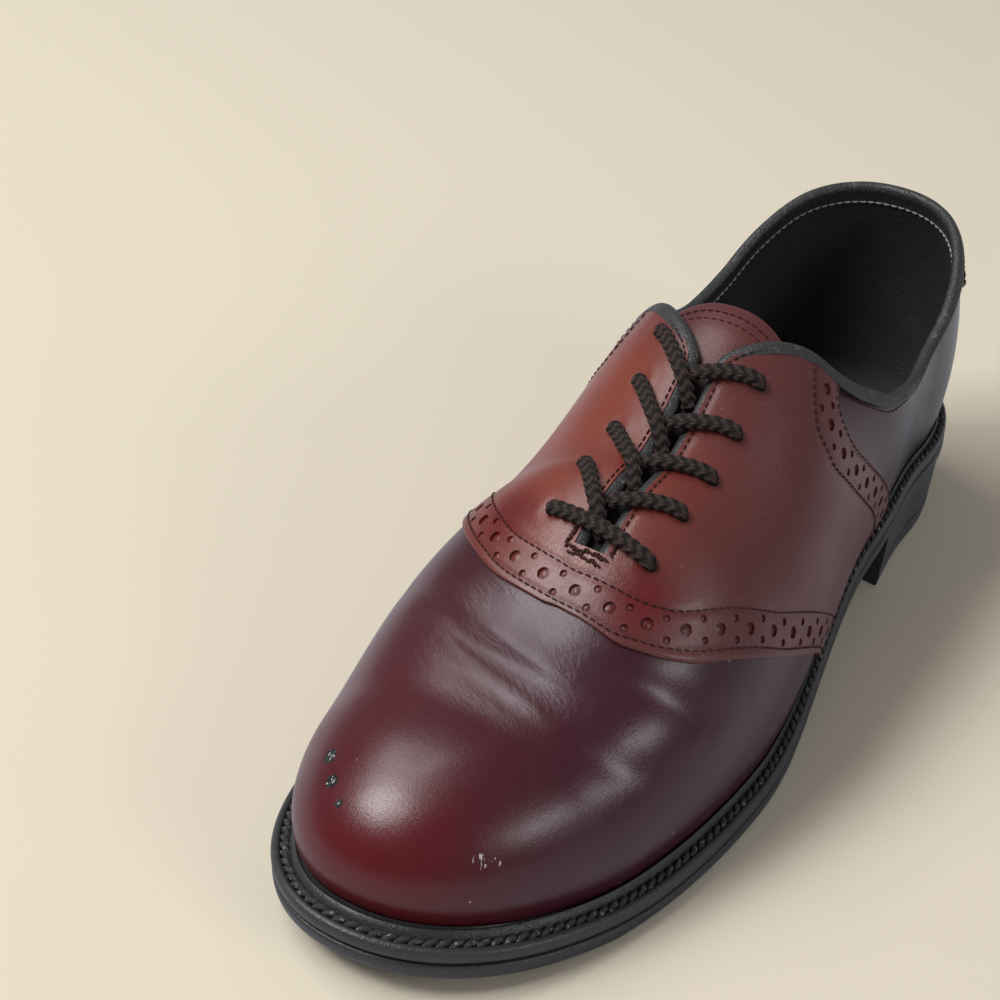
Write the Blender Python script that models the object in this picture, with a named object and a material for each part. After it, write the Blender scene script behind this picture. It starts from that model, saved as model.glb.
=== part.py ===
"""A saddle shoe for the left foot, built from the pieces that a shoemaker puts together.

The shoe stands on the floor with its toe towards -Y, and +X is the outer side of the foot.
Every curved piece follows one surface, the last: a station runs round the sole's edge from the
toe tip (0) past the ball (1) and the heel's side (2) to the heel's back (3), and a turn runs
from the sole's edge (0 degrees) up to the top line of the foot (90 degrees).
"""

import math
from collections import namedtuple

import bmesh
import bpy
import numpy as np
from mathutils import Matrix, Vector

# Driving dimensions of the outline, in metres
LENGTH = 0.308
BALL_OUTER = 0.0589
BALL_INNER = 0.0543
WAIST_OUTER = 0.0437
WAIST_INNER = 0.0398
HEEL_OUTER = 0.0384
HEEL_INNER = 0.0378
TOE_SHIFT = 0.0043

# Heights above the floor
HEEL_SEAT = 0.0306
BALL_SEAT = 0.0082
TOE_SEAT = 0.0171
TOE_HEIGHT = 0.0530
VAMP_HEIGHT = 0.0889
INSTEP_HEIGHT = 0.1141
COMB_HEIGHT = 0.1271

# Form of the upper
TOE_DEPTH = 0.0504
THROAT_SHIFT = 0.0095
BULGE = 0.0089
LEDGE = 0.0097
WALL = 0.0018
OVERLAY = 0.0013
GAP = 0.0003

# Throat, eyelets and lace
THROAT_HALF_GAP = 0.0046
EYELET_REACH = 0.0155
EYELET_RADIUS = 0.0014
EYELET_ROWS = 5
EYELET_PITCH = 0.0147
FIRST_EYELET = 0.2015
LACE_RADIUS = 0.0022
LACE_CLEARANCE = 0.0009
LACE_ARCH = 0.0012

# Tongue, insole and binding
TONGUE_THICKNESS = 0.0026
TONGUE_GAP = 0.0007
TONGUE_HALF_WIDTH = 0.030
INSOLE_THICKNESS = 0.003
INSOLE_CLEARANCE = 0.0005
BINDING_HEIGHT = 0.0018
BINDING_GAP = 0.0005
BINDING_END = 0.1

# Welt, outsole and heel
WELT_THICKNESS = 0.0032
WELT_REACH = 0.008
BEAD_HEIGHT = 0.0034
BEAD_TOP = 0.84
OUTSOLE_THICKNESS = 0.0052
EDGE_ROUND = 0.0022
HEEL_TAPER = 0.003
BREAST_CURVE = 0.004
BREAST_POINTS = 6
HEEL_COLUMNS = 10

# Places along the shoe, as shares of its length from the heel's back
THROAT_END = 0.675
TAB_END = 0.088
BREAST = 0.265
TONGUE_FOOT = 0.705
TONGUE_TIP = 0.405
TONGUE_CORNER = 0.022

# How the outline rounds off at its two ends
TOE_ROUND = 2.154
HEEL_ROUND = 2.195
HEEL_SIDE = 0.168

Side = namedtuple("Side", "sign ball waist heel ball_at waist_at bulge_column")
OUTER = Side(1, BALL_OUTER, WAIST_OUTER, HEEL_OUTER, 0.645, 0.320, 3)
INNER = Side(-1, BALL_INNER, WAIST_INNER, HEEL_INNER, 0.732, 0.440, 4)

# Height of the seat, where the upper meets the sole: at, then shares of the heel, ball and toe seats
SEAT_LINE = (
    (0.00, 1.00, 0.00, 0.00),
    (0.28, 1.00, 0.00, 0.00),
    (0.46, 0.36, 0.64, 0.00),
    (0.61, 0.00, 1.00, 0.00),
    (0.79, 0.00, 1.00, 0.00),
    (0.90, 0.00, 0.60, 0.40),
    (1.00, 0.00, 0.00, 1.00),
)

# Height of the top line: at, then shares of the comb, instep, vamp and toe heights
TOP_LINE = (
    (0.000, 1.0, 0.0, 0.0, 0.00),
    (0.220, 1.0, 0.0, 0.0, 0.00),
    (0.400, 0.0, 1.0, 0.0, 0.00),
    (0.600, 0.0, 0.0, 1.0, 0.00),
    (0.836, 0.0, 0.0, 0.0, 1.00),
    (1.000, 0.0, 0.0, 0.0, 0.92),
)

# Sideways run of the top line: at, share of the throat's shift, share of the toe's shift
TOP_SHIFT = (
    (0.00, 0.00, 0.0),
    (0.15, 0.00, 0.0),
    (0.30, 0.05, 0.0),
    (0.42, 0.45, 0.0),
    (0.50, 0.82, 0.0),
    (0.60, 1.00, 0.0),
    (0.66, 1.00, 0.0),
    (0.86, 0.50, 0.5),
    (1.00, 0.00, 1.0),
)

# Cross-sections: at, squareness, share of the ledge, shares of the bulge on the outer and inner side
SECTIONS = (
    (0.00, 3.00, 0.50, 0.52, 0.52),
    (0.20, 3.00, 0.46, 0.52, 0.52),
    (0.44, 2.32, 0.44, 0.63, 1.00),
    (0.64, 2.32, 0.72, 0.63, 1.00),
    (0.87, 2.87, 0.92, 0.44, 0.44),
    (1.00, 2.87, 1.00, 0.44, 0.44),
)

# Top edge of the upper: at, turn in degrees
COLLAR = (
    (0.00, 35.5),
    (0.06, 32.5),
    (0.12, 26.0),
    (0.18, 20.5),
    (0.24, 18.5),
    (0.30, 23.5),
    (0.35, 35.0),
    (0.385, 47.0),
    (0.405, 57.5),
    (0.435, 70.0),
    (0.47, 83.0),
    (0.50, 90.0),
)

# Front edge of the saddle: turn in degrees, place on the outer and on the inner side
SADDLE_FRONT = (
    (0.0, 0.470, 0.470),
    (20.0, 0.567, 0.555),
    (33.0, 0.636, 0.612),
    (48.0, 0.695, 0.665),
    (62.0, 0.720, 0.698),
    (76.0, 0.732, 0.721),
    (90.0, 0.732, 0.732),
)

# Rear edge of the saddle: turn in degrees, place on both sides
SADDLE_REAR = (
    (0.0, 0.285),
    (8.0, 0.316),
    (17.0, 0.349),
    (24.0, 0.372),
    (35.0, 0.400),
    (42.0, 0.404),
    (47.0, 0.385),
)

# Welt from the upper to the sole's edge: share of the ledge, height as a share of the bead's
WELT_SECTION = (
    (0.22, 0.60),
    (0.30, 0.14),
    (0.62, 0.12),
    (0.68, 0.40),
    (0.92, 0.36),
    (1.00, 0.06),
)

# Side of the outsole: shares of the edge's round inwards, shares of the thickness downwards
OUTSOLE_EDGE = (
    (0.40, 0.00),
    (0.00, 0.22),
    (0.10, 0.62),
    (1.00, 1.00),
)

# Side of the heel from the floor up: share of the taper inwards, share of the height
HEEL_SECTION = (
    (1.00, 0.0),
    (0.45, 0.5),
    (0.35, 1.0),
)

# Roll of the binding: share of the way from the wall's inner to its outer face, share of the height
BINDING_SECTION = (
    (0.00, 0.0),
    (0.06, 0.6),
    (0.38, 1.0),
    (0.72, 1.0),
    (0.97, 0.6),
    (1.00, 0.0),
)

# Half width of the tongue: at, share of its greatest half width
TONGUE_SIDES = (
    (0.40, 0.90),
    (0.45, 1.00),
    (0.60, 0.80),
    (0.71, 0.45),
)

# Grid of the upper: heights of its rows between the bead and the top edge, and columns a side
ROWS = (0.0, 0.14, 0.28, 0.41, 0.54, 0.68, 0.81, 0.91, 1.0)
TAB_ROW = 5
TOE_COLUMNS = 13
SADDLE_COLUMNS = 12
QUARTER_COLUMNS = 8
TAB_COLUMNS = 4
TONGUE_COLUMNS = 12
TONGUE_ROWS = 4
LACE_COLUMNS = 7
LAST_ROW = len(ROWS)

FINISHES = {
    "rubber": ((0.016, 0.016, 0.018), 0.55),
    "plum": ((0.070, 0.018, 0.026), 0.25),
    "mahogany": ((0.150, 0.034, 0.026), 0.30),
    "binding": ((0.030, 0.028, 0.030), 0.45),
    "lining": ((0.024, 0.021, 0.020), 0.70),
    "lace": ((0.026, 0.014, 0.013), 0.80),
}


def smooth(table, column, at, flat=False):
    """Monotone cubic through one column of a table, read at the places `at`."""
    knots = np.array([row[0] for row in table])
    values = np.array([row[column] for row in table])
    steps = np.diff(values) / np.diff(knots)
    slopes = np.zeros(len(knots))
    if not flat:
        slopes[0], slopes[-1] = steps[0], steps[-1]
        for i in range(1, len(knots) - 1):
            if steps[i - 1] * steps[i] > 0:
                slopes[i] = 2 * steps[i - 1] * steps[i] / (steps[i - 1] + steps[i])
    at = np.clip(at, knots[0], knots[-1])
    i = np.clip(np.searchsorted(knots, at) - 1, 0, len(knots) - 2)
    width = knots[i + 1] - knots[i]
    u = (at - knots[i]) / width
    start = (2 * u**3 - 3 * u**2 + 1) * values[i] + (u**3 - 2 * u**2 + u) * width * slopes[i]
    end = (3 * u**2 - 2 * u**3) * values[i + 1] + (u**3 - u**2) * width * slopes[i + 1]
    return start + end


def blend(table, sizes, at):
    """Sum of named sizes, each weighed by its own column of a table."""
    return sum(size * smooth(table, i + 1, at) for i, size in enumerate(sizes))


def seat_height(y):
    return blend(SEAT_LINE, (HEEL_SEAT, BALL_SEAT, TOE_SEAT), y / LENGTH)


def top_height(y):
    return blend(TOP_LINE, (COMB_HEIGHT, INSTEP_HEIGHT, VAMP_HEIGHT, TOE_HEIGHT), y / LENGTH)


def top_shift(y):
    return blend(TOP_SHIFT, (THROAT_SHIFT, -TOE_SHIFT), y / LENGTH)


def mix(a, b, share):
    return a + (b - a) * share


def outline(side, station):
    """Points (x, distance from the heel's back) of the sole's edge."""
    station = np.asarray(station, float)
    ball, heel_side = side.ball_at * LENGTH, HEEL_SIDE * LENGTH
    toe = math.pi / 2 * (1 - np.clip(station, 0, 1))
    heel = math.pi / 2 * np.clip(station - 2, 0, 1)
    tip = -side.sign * TOE_SHIFT
    toe_x = tip + (side.ball - tip) * np.cos(toe).clip(0) ** (2 / TOE_ROUND)
    toe_y = ball + (LENGTH - ball) * np.sin(toe) ** (2 / TOE_ROUND)
    waist_y = mix(ball, heel_side, np.clip(station - 1, 0, 1))
    widths = ((HEEL_SIDE, side.heel), (side.waist_at, side.waist), (side.ball_at, side.ball))
    waist_x = smooth(widths, 1, waist_y / LENGTH, flat=True)
    heel_x = side.heel * np.cos(heel).clip(0) ** (2 / HEEL_ROUND)
    heel_y = heel_side * (1 - np.sin(heel) ** (2 / HEEL_ROUND))
    x = np.where(station <= 1, toe_x, np.where(station <= 2, waist_x, heel_x))
    y = np.where(station <= 1, toe_y, np.where(station <= 2, waist_y, heel_y))
    return np.stack([side.sign * x, y], -1)


def inset(side, station, depth):
    """The sole's edge moved inwards by a depth, and its outward normals."""
    station = np.asarray(station, float)
    step = 1e-3
    run = outline(side, np.clip(station + step, 0, 3)) - outline(side, np.clip(station - step, 0, 3))
    normal = np.stack([-run[..., 1], run[..., 0]], -1) * side.sign
    normal /= np.linalg.norm(normal, axis=-1, keepdims=True)
    normal[station <= 0] = (0, 1)
    normal[station >= 3] = (0, -1)
    return outline(side, station) - normal * np.asarray(depth)[..., None], normal


def ledge(side, station):
    """Width of the welt outside the upper."""
    return LEDGE * smooth(SECTIONS, 2, outline(side, station)[..., 1] / LENGTH)


def feather(side, station):
    """Where the upper meets the sole."""
    return inset(side, station, ledge(side, station))


def station_at(side, at):
    """Station whose feather point lies at a share of the length."""
    stations = np.linspace(0, 3, 3001)
    places = feather(side, stations)[0][:, 1] / LENGTH
    depth = np.sqrt(np.maximum(places[0] - places, 0))
    return np.interp(np.sqrt(np.maximum(places[0] - np.asarray(at, float), 0)), depth, stations)


def top_place(foot_y):
    """Place on the top line that a foot point leans towards: fans close in at the toe and heel."""
    front, front_end = 0.60 * LENGTH, LENGTH - TOE_DEPTH
    back, back_end = 0.20 * LENGTH, 0.115 * LENGTH
    toe_foot = LENGTH - LEDGE * SECTIONS[-1][2]
    heel_foot = LEDGE * SECTIONS[0][2]
    ahead = np.clip((foot_y - front) / (toe_foot - front), 0, 1)
    behind = np.clip((back - foot_y) / (back - heel_foot), 0, 1)
    place = np.where(foot_y > front, mix(front, front_end, np.sin(math.pi / 2 * ahead)), foot_y)
    return np.where(foot_y < back, mix(back, back_end, np.sin(math.pi / 2 * behind)), place)


def skin(side, station, turn):
    """Points of the last's surface, toe towards -Y, the heel's back at y = 0."""
    station, turn = np.broadcast_arrays(np.asarray(station, float), np.asarray(turn, float))
    foot, normal = feather(side, station)
    at = outline(side, station)[..., 1] / LENGTH
    top_y = top_place(foot[..., 1])
    top = np.stack([top_shift(top_y), top_y], -1)
    power = 2 / smooth(SECTIONS, 1, at)
    bulge = BULGE * smooth(SECTIONS, side.bulge_column, at)
    reach = np.cos(turn).clip(0) ** power
    rise = np.sin(turn).clip(0) ** power
    plan = top + (foot - top) * reach[..., None]
    plan = plan + normal * (bulge * np.sin(math.pi * rise**0.75))[..., None]
    seat = seat_height(outline(side, station)[..., 1])
    height = mix(seat, top_height(plan[..., 1]), rise)
    return np.stack([plan[..., 0], -plan[..., 1], height], -1)


def skin_normal(side, station, turn):
    """Outward unit normals of the surface."""
    station, turn = np.broadcast_arrays(np.asarray(station, float), np.asarray(turn, float))
    step = 4e-3
    along = skin(side, np.clip(station + step, 0, 3), turn) - skin(side, np.clip(station - step, 0, 3), turn)
    top = math.pi / 2
    up = skin(side, station, np.clip(turn + step, 0, top)) - skin(side, station, np.clip(turn - step, 0, top))
    normal = np.cross(along, up) * side.sign
    return normal / np.linalg.norm(normal, axis=-1, keepdims=True)


def turn_at_reach(side, station, reach):
    """Turn of the point that lies a plan distance from the top line."""
    foot = feather(side, station)[0]
    top_y = top_place(foot[..., 1])
    span = np.hypot(foot[..., 0] - top_shift(top_y), foot[..., 1] - top_y)
    power = smooth(SECTIONS, 1, outline(side, station)[..., 1] / LENGTH) / 2
    return np.arccos(np.clip(reach / span, 0, 1) ** power)


def edge_turn(side, station):
    """Turn of the upper's top edge: the collar, and the facings along the throat."""
    at = feather(side, station)[0][..., 1] / LENGTH
    collar = np.radians(smooth(COLLAR, 1, at))
    return np.minimum(collar, turn_at_reach(side, station, THROAT_HALF_GAP))


def bead_turn(side, station):
    """Turn of the height that the welt's bead covers."""
    y = outline(side, station)[..., 1]
    power = smooth(SECTIONS, 1, y / LENGTH) / 2
    return np.arcsin((BEAD_HEIGHT / (top_height(y) - seat_height(y))) ** power)


def front_station(side, turn):
    column = 1 if side is OUTER else 2
    return station_at(side, smooth(SADDLE_FRONT, column, np.degrees(turn)))


def rear_station(side, turn):
    return station_at(side, smooth(SADDLE_REAR, 1, np.degrees(turn)))


def column_grid(side):
    """Stations and turns of every column (first index) and row of the upper's grid on one side."""
    front_top = float(front_station(side, math.pi / 2))
    rear_top = float(station_at(side, SADDLE_REAR[-1][1]))
    rear_turn = float(edge_turn(side, rear_top))
    throat = (float(station_at(side, THROAT_END)) - front_top) / (rear_top - front_top)
    tab = float(station_at(side, TAB_END))
    columns = [("toe", i / TOE_COLUMNS) for i in range(TOE_COLUMNS)]
    columns += [("saddle", 0.0)]
    columns += [("saddle", mix(throat, 1.0, i / SADDLE_COLUMNS)) for i in range(SADDLE_COLUMNS)]
    columns += [("quarter", i / QUARTER_COLUMNS) for i in range(QUARTER_COLUMNS)]
    columns += [("tab", i / TAB_COLUMNS) for i in range(TAB_COLUMNS + 1)]

    def stations(panel, share, height):
        front = front_station(side, height * math.pi / 2)
        rear = rear_station(side, height * rear_turn)
        if panel == "toe":
            return share * front
        if panel == "saddle":
            return mix(front, rear, share)
        if panel == "quarter":
            return mix(rear, tab, share)
        return np.full_like(height, mix(tab, 3.0, share))

    grid_stations, grid_turns = [], []
    for panel, share in columns:
        top = float(edge_turn(side, stations(panel, share, np.array(1.0))))
        low = float(bead_turn(side, stations(panel, share, np.array(0.0))))
        turns = np.array([0.0] + [mix(low, top, row) for row in ROWS])
        grid_turns.append(turns)
        grid_stations.append(stations(panel, share, turns / top))
    return np.array(grid_stations), np.array(grid_turns)


THROAT_COLUMN = TOE_COLUMNS + 1
FRONT_COLUMN = TOE_COLUMNS
REAR_COLUMN = TOE_COLUMNS + 1 + SADDLE_COLUMNS
TAB_COLUMN = REAR_COLUMN + QUARTER_COLUMNS
BACK_COLUMN = TAB_COLUMN + TAB_COLUMNS


class Dome:
    """Vertices and normals of the upper's surface on both sides, joined along the top line."""

    def __init__(self):
        self.count = BACK_COLUMN + 1
        self.rows = LAST_ROW + 1
        self.grids = {side: column_grid(side) for side in (OUTER, INNER)}
        points = {side: skin(side, *self.grids[side]) for side in (OUTER, INNER)}
        normals = {side: skin_normal(side, *self.grids[side]) for side in (OUTER, INNER)}
        for end in (0, -1):
            shared = normals[OUTER][end] + normals[INNER][end]
            shared /= np.linalg.norm(shared, axis=-1, keepdims=True)
            normals[OUTER][end] = normals[INNER][end] = shared
            points[INNER][end] = points[OUTER][end]
        tops, top_normals = self.top_line()
        self.points = np.concatenate([points[OUTER].reshape(-1, 3), points[INNER].reshape(-1, 3), tops])
        self.normals = np.concatenate(
            [normals[OUTER].reshape(-1, 3), normals[INNER].reshape(-1, 3), top_normals]
        )

    def top_line(self):
        halves, half_normals = [], []
        for side in (OUTER, INNER):
            stations = self.grids[side][0][:, -1]
            halves.append(skin(side, stations, math.pi / 2))
            half_normals.append(skin_normal(side, stations, math.pi / 2))
        normals = half_normals[0] + half_normals[1]
        return sum(halves) / 2, normals / np.linalg.norm(normals, axis=-1, keepdims=True)

    def vertex(self, side, column, row):
        if row > LAST_ROW:
            return 2 * self.count * self.rows + column
        ends = (0, BACK_COLUMN)
        block = 0 if side is OUTER or column in ends else self.count * self.rows
        return block + column * self.rows + row

    def patch(self, side, columns, rows):
        """Triangles between the first and last column and row, facing outwards."""
        triangles = []
        for column in range(*columns):
            for row in range(*rows):
                quad = [
                    self.vertex(side, column, row),
                    self.vertex(side, column, row + 1),
                    self.vertex(side, column + 1, row + 1),
                    self.vertex(side, column + 1, row),
                ]
                tab_corner = (column, row) == (TAB_COLUMN, TAB_ROW)
                split = ((0, 1, 3), (1, 2, 3)) if tab_corner else ((0, 1, 2), (0, 2, 3))
                for corners in split if side is OUTER else [half[::-1] for half in split]:
                    triangles.append([quad[i] for i in corners])
        return triangles

    def both(self, columns, rows):
        return self.patch(OUTER, columns, rows) + self.patch(INNER, columns, rows)


def add_object(name, points, faces, finish):
    """A mesh object from points, with its faces turned outwards and its own material."""
    mesh = bpy.data.meshes.new(name)
    mesh.from_pydata([tuple(map(float, point)) for point in points], [], faces)
    work = bmesh.new()
    work.from_mesh(mesh)
    bmesh.ops.recalc_face_normals(work, faces=work.faces)
    work.to_mesh(mesh)
    work.free()
    mesh.shade_smooth()
    mesh.set_sharp_from_angle(angle=math.radians(40))
    return place_object(name, mesh, finish)


def place_object(name, data, finish):
    colour, roughness = FINISHES[finish]
    material = bpy.data.materials.new(name)
    material.use_nodes = True
    shader = material.node_tree.nodes["Principled BSDF"]
    shader.inputs["Base Color"].default_value = (*colour, 1.0)
    shader.inputs["Roughness"].default_value = roughness
    shader.inputs["Metallic"].default_value = 0.0
    data.materials.append(material)
    thing = bpy.data.objects.new(name, data)
    bpy.context.scene.collection.objects.link(thing)
    return thing


def shell(name, dome, faces, outside, inside, finish):
    """A wall between two offsets of the dome, closed along every free edge."""
    used = sorted({vertex for face in faces for vertex in face})
    number = {vertex: i for i, vertex in enumerate(used)}
    points = dome.points[used]
    normals = dome.normals[used]
    walls = np.concatenate([points + normals * outside, points + normals * inside])
    outer = [[number[vertex] for vertex in face] for face in faces]
    inner = [[vertex + len(used) for vertex in face[::-1]] for face in outer]
    edges = {(face[i - 1], face[i]) for face in outer for i in range(len(face))}
    rim = [
        [b, a, a + len(used), b + len(used)]
        for a, b in sorted(edges)
        if (b, a) not in edges
    ]
    return add_object(name, walls, outer + inner + rim, finish)


def ring_solid(name, sections, finish, closed=True):
    """A solid whose cross-sections (each a loop of points) follow one another, round a ring or capped."""
    sections = np.asarray(sections)
    count, size = sections.shape[:2]
    faces = []
    for i in range(count if closed else count - 1):
        following = (i + 1) % count
        for j in range(size):
            beside = (j + 1) % size
            faces.append(
                [i * size + j, following * size + j, following * size + beside, i * size + beside]
            )
    if not closed:
        faces.append(list(range(size)))
        faces.append([(count - 1) * size + j for j in reversed(range(size))])
    return add_object(name, sections.reshape(-1, 3), faces, finish)


def round_the_shoe(dome):
    """Side, station and column of every foot point, from the toe tip round the outer side and back."""
    outward = [(OUTER, column) for column in range(dome.count)]
    homeward = [(INNER, column) for column in range(dome.count - 2, 0, -1)]
    return [(side, float(dome.grids[side][0][column, 0]), column) for side, column in outward + homeward]


def edge_point(side, station, depth, height_of):
    """A point a depth inside the sole's edge, at a height worked out from its place."""
    (x, y), _ = inset(side, station, depth)
    return (x, -y, float(height_of(y)))


def layered_plate(name, dome, layers, finish):
    """A plate from its underside up: each layer is a depth inside the edge and a height rule."""
    around = round_the_shoe(dome)
    count = len(around)
    points = []
    for depth_of, height_of in layers:
        for side, station, _ in around:
            points.append(edge_point(side, station, depth_of(side, station), height_of))
    faces = []
    for layer in range(len(layers) - 1):
        for i in range(count):
            after = (i + 1) % count
            low, high = layer * count, (layer + 1) * count
            faces.append([low + i, low + after, high + after, high + i])
    for start, turned in ((0, True), ((len(layers) - 1) * count, False)):
        faces += strips_across(start, count, turned)
    return add_object(name, points, faces, finish)


def strips_across(start, count, turned):
    """Faces that close a ring of points from its outer to its inner half."""
    half = count // 2
    faces = [[start, start + 1, start + count - 1]]
    for i in range(1, half - 1):
        faces.append([start + i, start + i + 1, start + count - i - 1, start + count - i])
    faces.append([start + half - 1, start + half, start + half + 1])
    return [face[::-1] if turned else face for face in faces]


def welt_base(y):
    return seat_height(y) - GAP - WELT_THICKNESS


def outsole_top(y):
    return welt_base(y) - GAP


def outsole_base(y):
    return np.maximum(outsole_top(y) - OUTSOLE_THICKNESS, 0.0)


def make_outsole(dome):
    def edge(inwards, downwards):
        return (
            lambda side, station: inwards * EDGE_ROUND,
            lambda y: mix(outsole_top(y), outsole_base(y), downwards),
        )

    def panel(side, station):
        return ledge(side, station) + WELT_REACH + GAP

    layers = [edge(*row) for row in reversed(OUTSOLE_EDGE)]
    layers += [(panel, outsole_top), (panel, lambda y: seat_height(y) - GAP)]
    layered_plate("outsole", dome, layers, "rubber")


def make_insole(dome):
    def edge(side, station):
        return ledge(side, station) + WALL + INSOLE_CLEARANCE

    layers = [(edge, seat_height), (edge, lambda y: seat_height(y) + INSOLE_THICKNESS)]
    layered_plate("insole", dome, layers, "lining")


def make_heel():
    """The heel block: a slightly tapered solid with a hollow-curved breast."""
    stations = {
        side: np.linspace(float(station_at(side, BREAST)), 3.0, HEEL_COLUMNS + 1) for side in (OUTER, INNER)
    }
    around = [(OUTER, station) for station in stations[OUTER]]
    around += [(INNER, station) for station in stations[INNER][-2::-1]]
    rings = []
    top = float(outsole_base(0.0)) - GAP
    for taper, height in HEEL_SECTION:
        ring = [edge_point(side, station, taper * HEEL_TAPER, lambda y: 0.0) for side, station in around]
        start, end = np.array(ring[-1]), np.array(ring[0])
        for i in range(1, BREAST_POINTS):
            share = i / BREAST_POINTS
            point = mix(start, end, share)
            point[1] += BREAST_CURVE * math.sin(math.pi * share)
            ring.append(tuple(point))
        rings.append([(x, y, height * top) for x, y, _ in ring])
    count = len(rings[0])
    last = len(HEEL_SECTION) - 1
    faces = [list(range(count))[::-1], [last * count + i for i in range(count)]]
    for layer in range(last):
        for i in range(count):
            after = (i + 1) % count
            low, high = layer * count, (layer + 1) * count
            faces.append([low + i, low + after, high + after, high + i])
    add_object("heel", [point for ring in rings for point in ring], faces, "rubber")


def make_welt(dome):
    """A ring with a bead against the upper, a sunk channel and a lip at the sole's edge."""
    sections = []
    for side, station, column in round_the_shoe(dome):
        width = float(ledge(side, station))
        foot, normal = feather(side, station)
        outward = np.array([normal[0], -normal[1], 0.0])
        low = dome.points[dome.vertex(side, column, 0)] + outward * GAP
        high = dome.points[dome.vertex(side, column, 1)] + outward * GAP
        seat = float(seat_height(foot[1]))
        section = [
            edge_point(side, station, width + WELT_REACH, welt_base),
            edge_point(side, station, width + WELT_REACH, lambda y: seat_height(y) - GAP),
            (low[0], low[1], seat - GAP),
            tuple(mix(low, high, BEAD_TOP)),
        ]
        for i, (out, up) in enumerate(WELT_SECTION):
            edge = edge_point(side, station, (1 - out) * (width - GAP), seat_height)
            lean = high - low if i == 0 else np.zeros(3)
            section.append((edge[0] + lean[0], edge[1] + lean[1], edge[2] + up * BEAD_HEIGHT))
        section.append(edge_point(side, station, 0.0, lambda y: seat_height(y) - 0.5 * WELT_THICKNESS))
        section.append(edge_point(side, station, 0.4 * EDGE_ROUND, welt_base))
        sections.append(section)
    ring_solid("welt", sections, "rubber")


def make_tongue():
    """A thin padded sheet under the facings, longer than the throat at both ends."""
    along, across = TONGUE_COLUMNS, TONGUE_ROWS
    sheet, normals = [], []
    for i in range(along + 1):
        row, row_normals = [], []
        for j in range(-across, across + 1):
            share = abs(j) / across
            side = OUTER if j >= 0 else INNER
            tip = TONGUE_TIP + TONGUE_CORNER * share**2
            at = mix(tip, TONGUE_FOOT, i / along)
            half = TONGUE_HALF_WIDTH * float(smooth(TONGUE_SIDES, 1, at))
            station = station_at(side, at)
            turn = turn_at_reach(side, station, half * share)
            row.append(skin(side, station, turn))
            row_normals.append(skin_normal(side, station, turn))
        sheet.append(row)
        normals.append(row_normals)
    sheet, normals = np.array(sheet), np.array(normals)
    normals[:, across] = (normals[:, across - 1] + normals[:, across + 1]) / 2
    normals /= np.linalg.norm(normals, axis=-1, keepdims=True)
    high = sheet - normals * (WALL + TONGUE_GAP)
    low = high - normals * TONGUE_THICKNESS
    sections = [list(high[i]) + list(low[i][::-1]) for i in range(along + 1)]
    ring_solid("tongue", sections, "mahogany", closed=False)


def make_binding(dome):
    """A rolled strip along the top edge, from one end of the throat round the collar to the other."""
    chain = [(OUTER, column) for column in range(THROAT_COLUMN, dome.count)]
    chain += [(INNER, column) for column in range(dome.count - 2, THROAT_COLUMN - 1, -1)]
    section = [(mix(-WALL, GAP + OVERLAY, across), rise) for across, rise in BINDING_SECTION]
    sections = []
    for side, column in chain:
        top = dome.vertex(side, column, LAST_ROW)
        below = dome.points[dome.vertex(side, column, LAST_ROW - 1)]
        point, normal = dome.points[top], dome.normals[top]
        up = point - below
        up -= normal * up.dot(normal)
        up /= np.linalg.norm(up)
        sections.append(
            [point + normal * off + up * (BINDING_GAP + rise * BINDING_HEIGHT) for off, rise in section]
        )
    sections = np.array(sections)
    for end, beside in ((0, 1), (-1, -2)):
        sections[end] = mix(sections[end], sections[beside], BINDING_END)
    ring_solid("collar_binding", sections, "binding", closed=False)


def eyelet_place(side, row, reach=EYELET_REACH):
    """Point and normal on the facing, a plan distance from the throat's middle."""
    at = (FIRST_EYELET - row * EYELET_PITCH) / LENGTH
    station = station_at(side, at)
    turn = turn_at_reach(side, station, reach)
    return skin(side, station, turn), skin_normal(side, station, turn)


def make_punch():
    """Ten short prisms that cut the eyelet holes through the facings."""
    work = bmesh.new()
    depth = 3 * (WALL + OVERLAY)
    for side in (OUTER, INNER):
        for row in range(EYELET_ROWS):
            point, normal = eyelet_place(side, row)
            made = bmesh.ops.create_cone(
                work,
                cap_ends=True,
                segments=8,
                radius1=EYELET_RADIUS,
                radius2=EYELET_RADIUS,
                depth=depth,
            )
            turn = Vector(normal).to_track_quat("Z", "Y").to_matrix().to_4x4()
            place = Matrix.Translation(Vector(point)) @ turn
            bmesh.ops.transform(work, matrix=place, verts=made["verts"])
    mesh = bpy.data.meshes.new("eyelet_punch")
    work.to_mesh(mesh)
    work.free()
    punch = bpy.data.objects.new("eyelet_punch", mesh)
    punch.hide_render = True
    punch.display_type = "WIRE"
    bpy.context.scene.collection.objects.link(punch)
    return punch


def cut(thing, cutter):
    modifier = thing.modifiers.new("eyelets", "BOOLEAN")
    modifier.operation = "DIFFERENCE"
    modifier.solver = "EXACT"
    modifier.object = cutter


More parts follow.
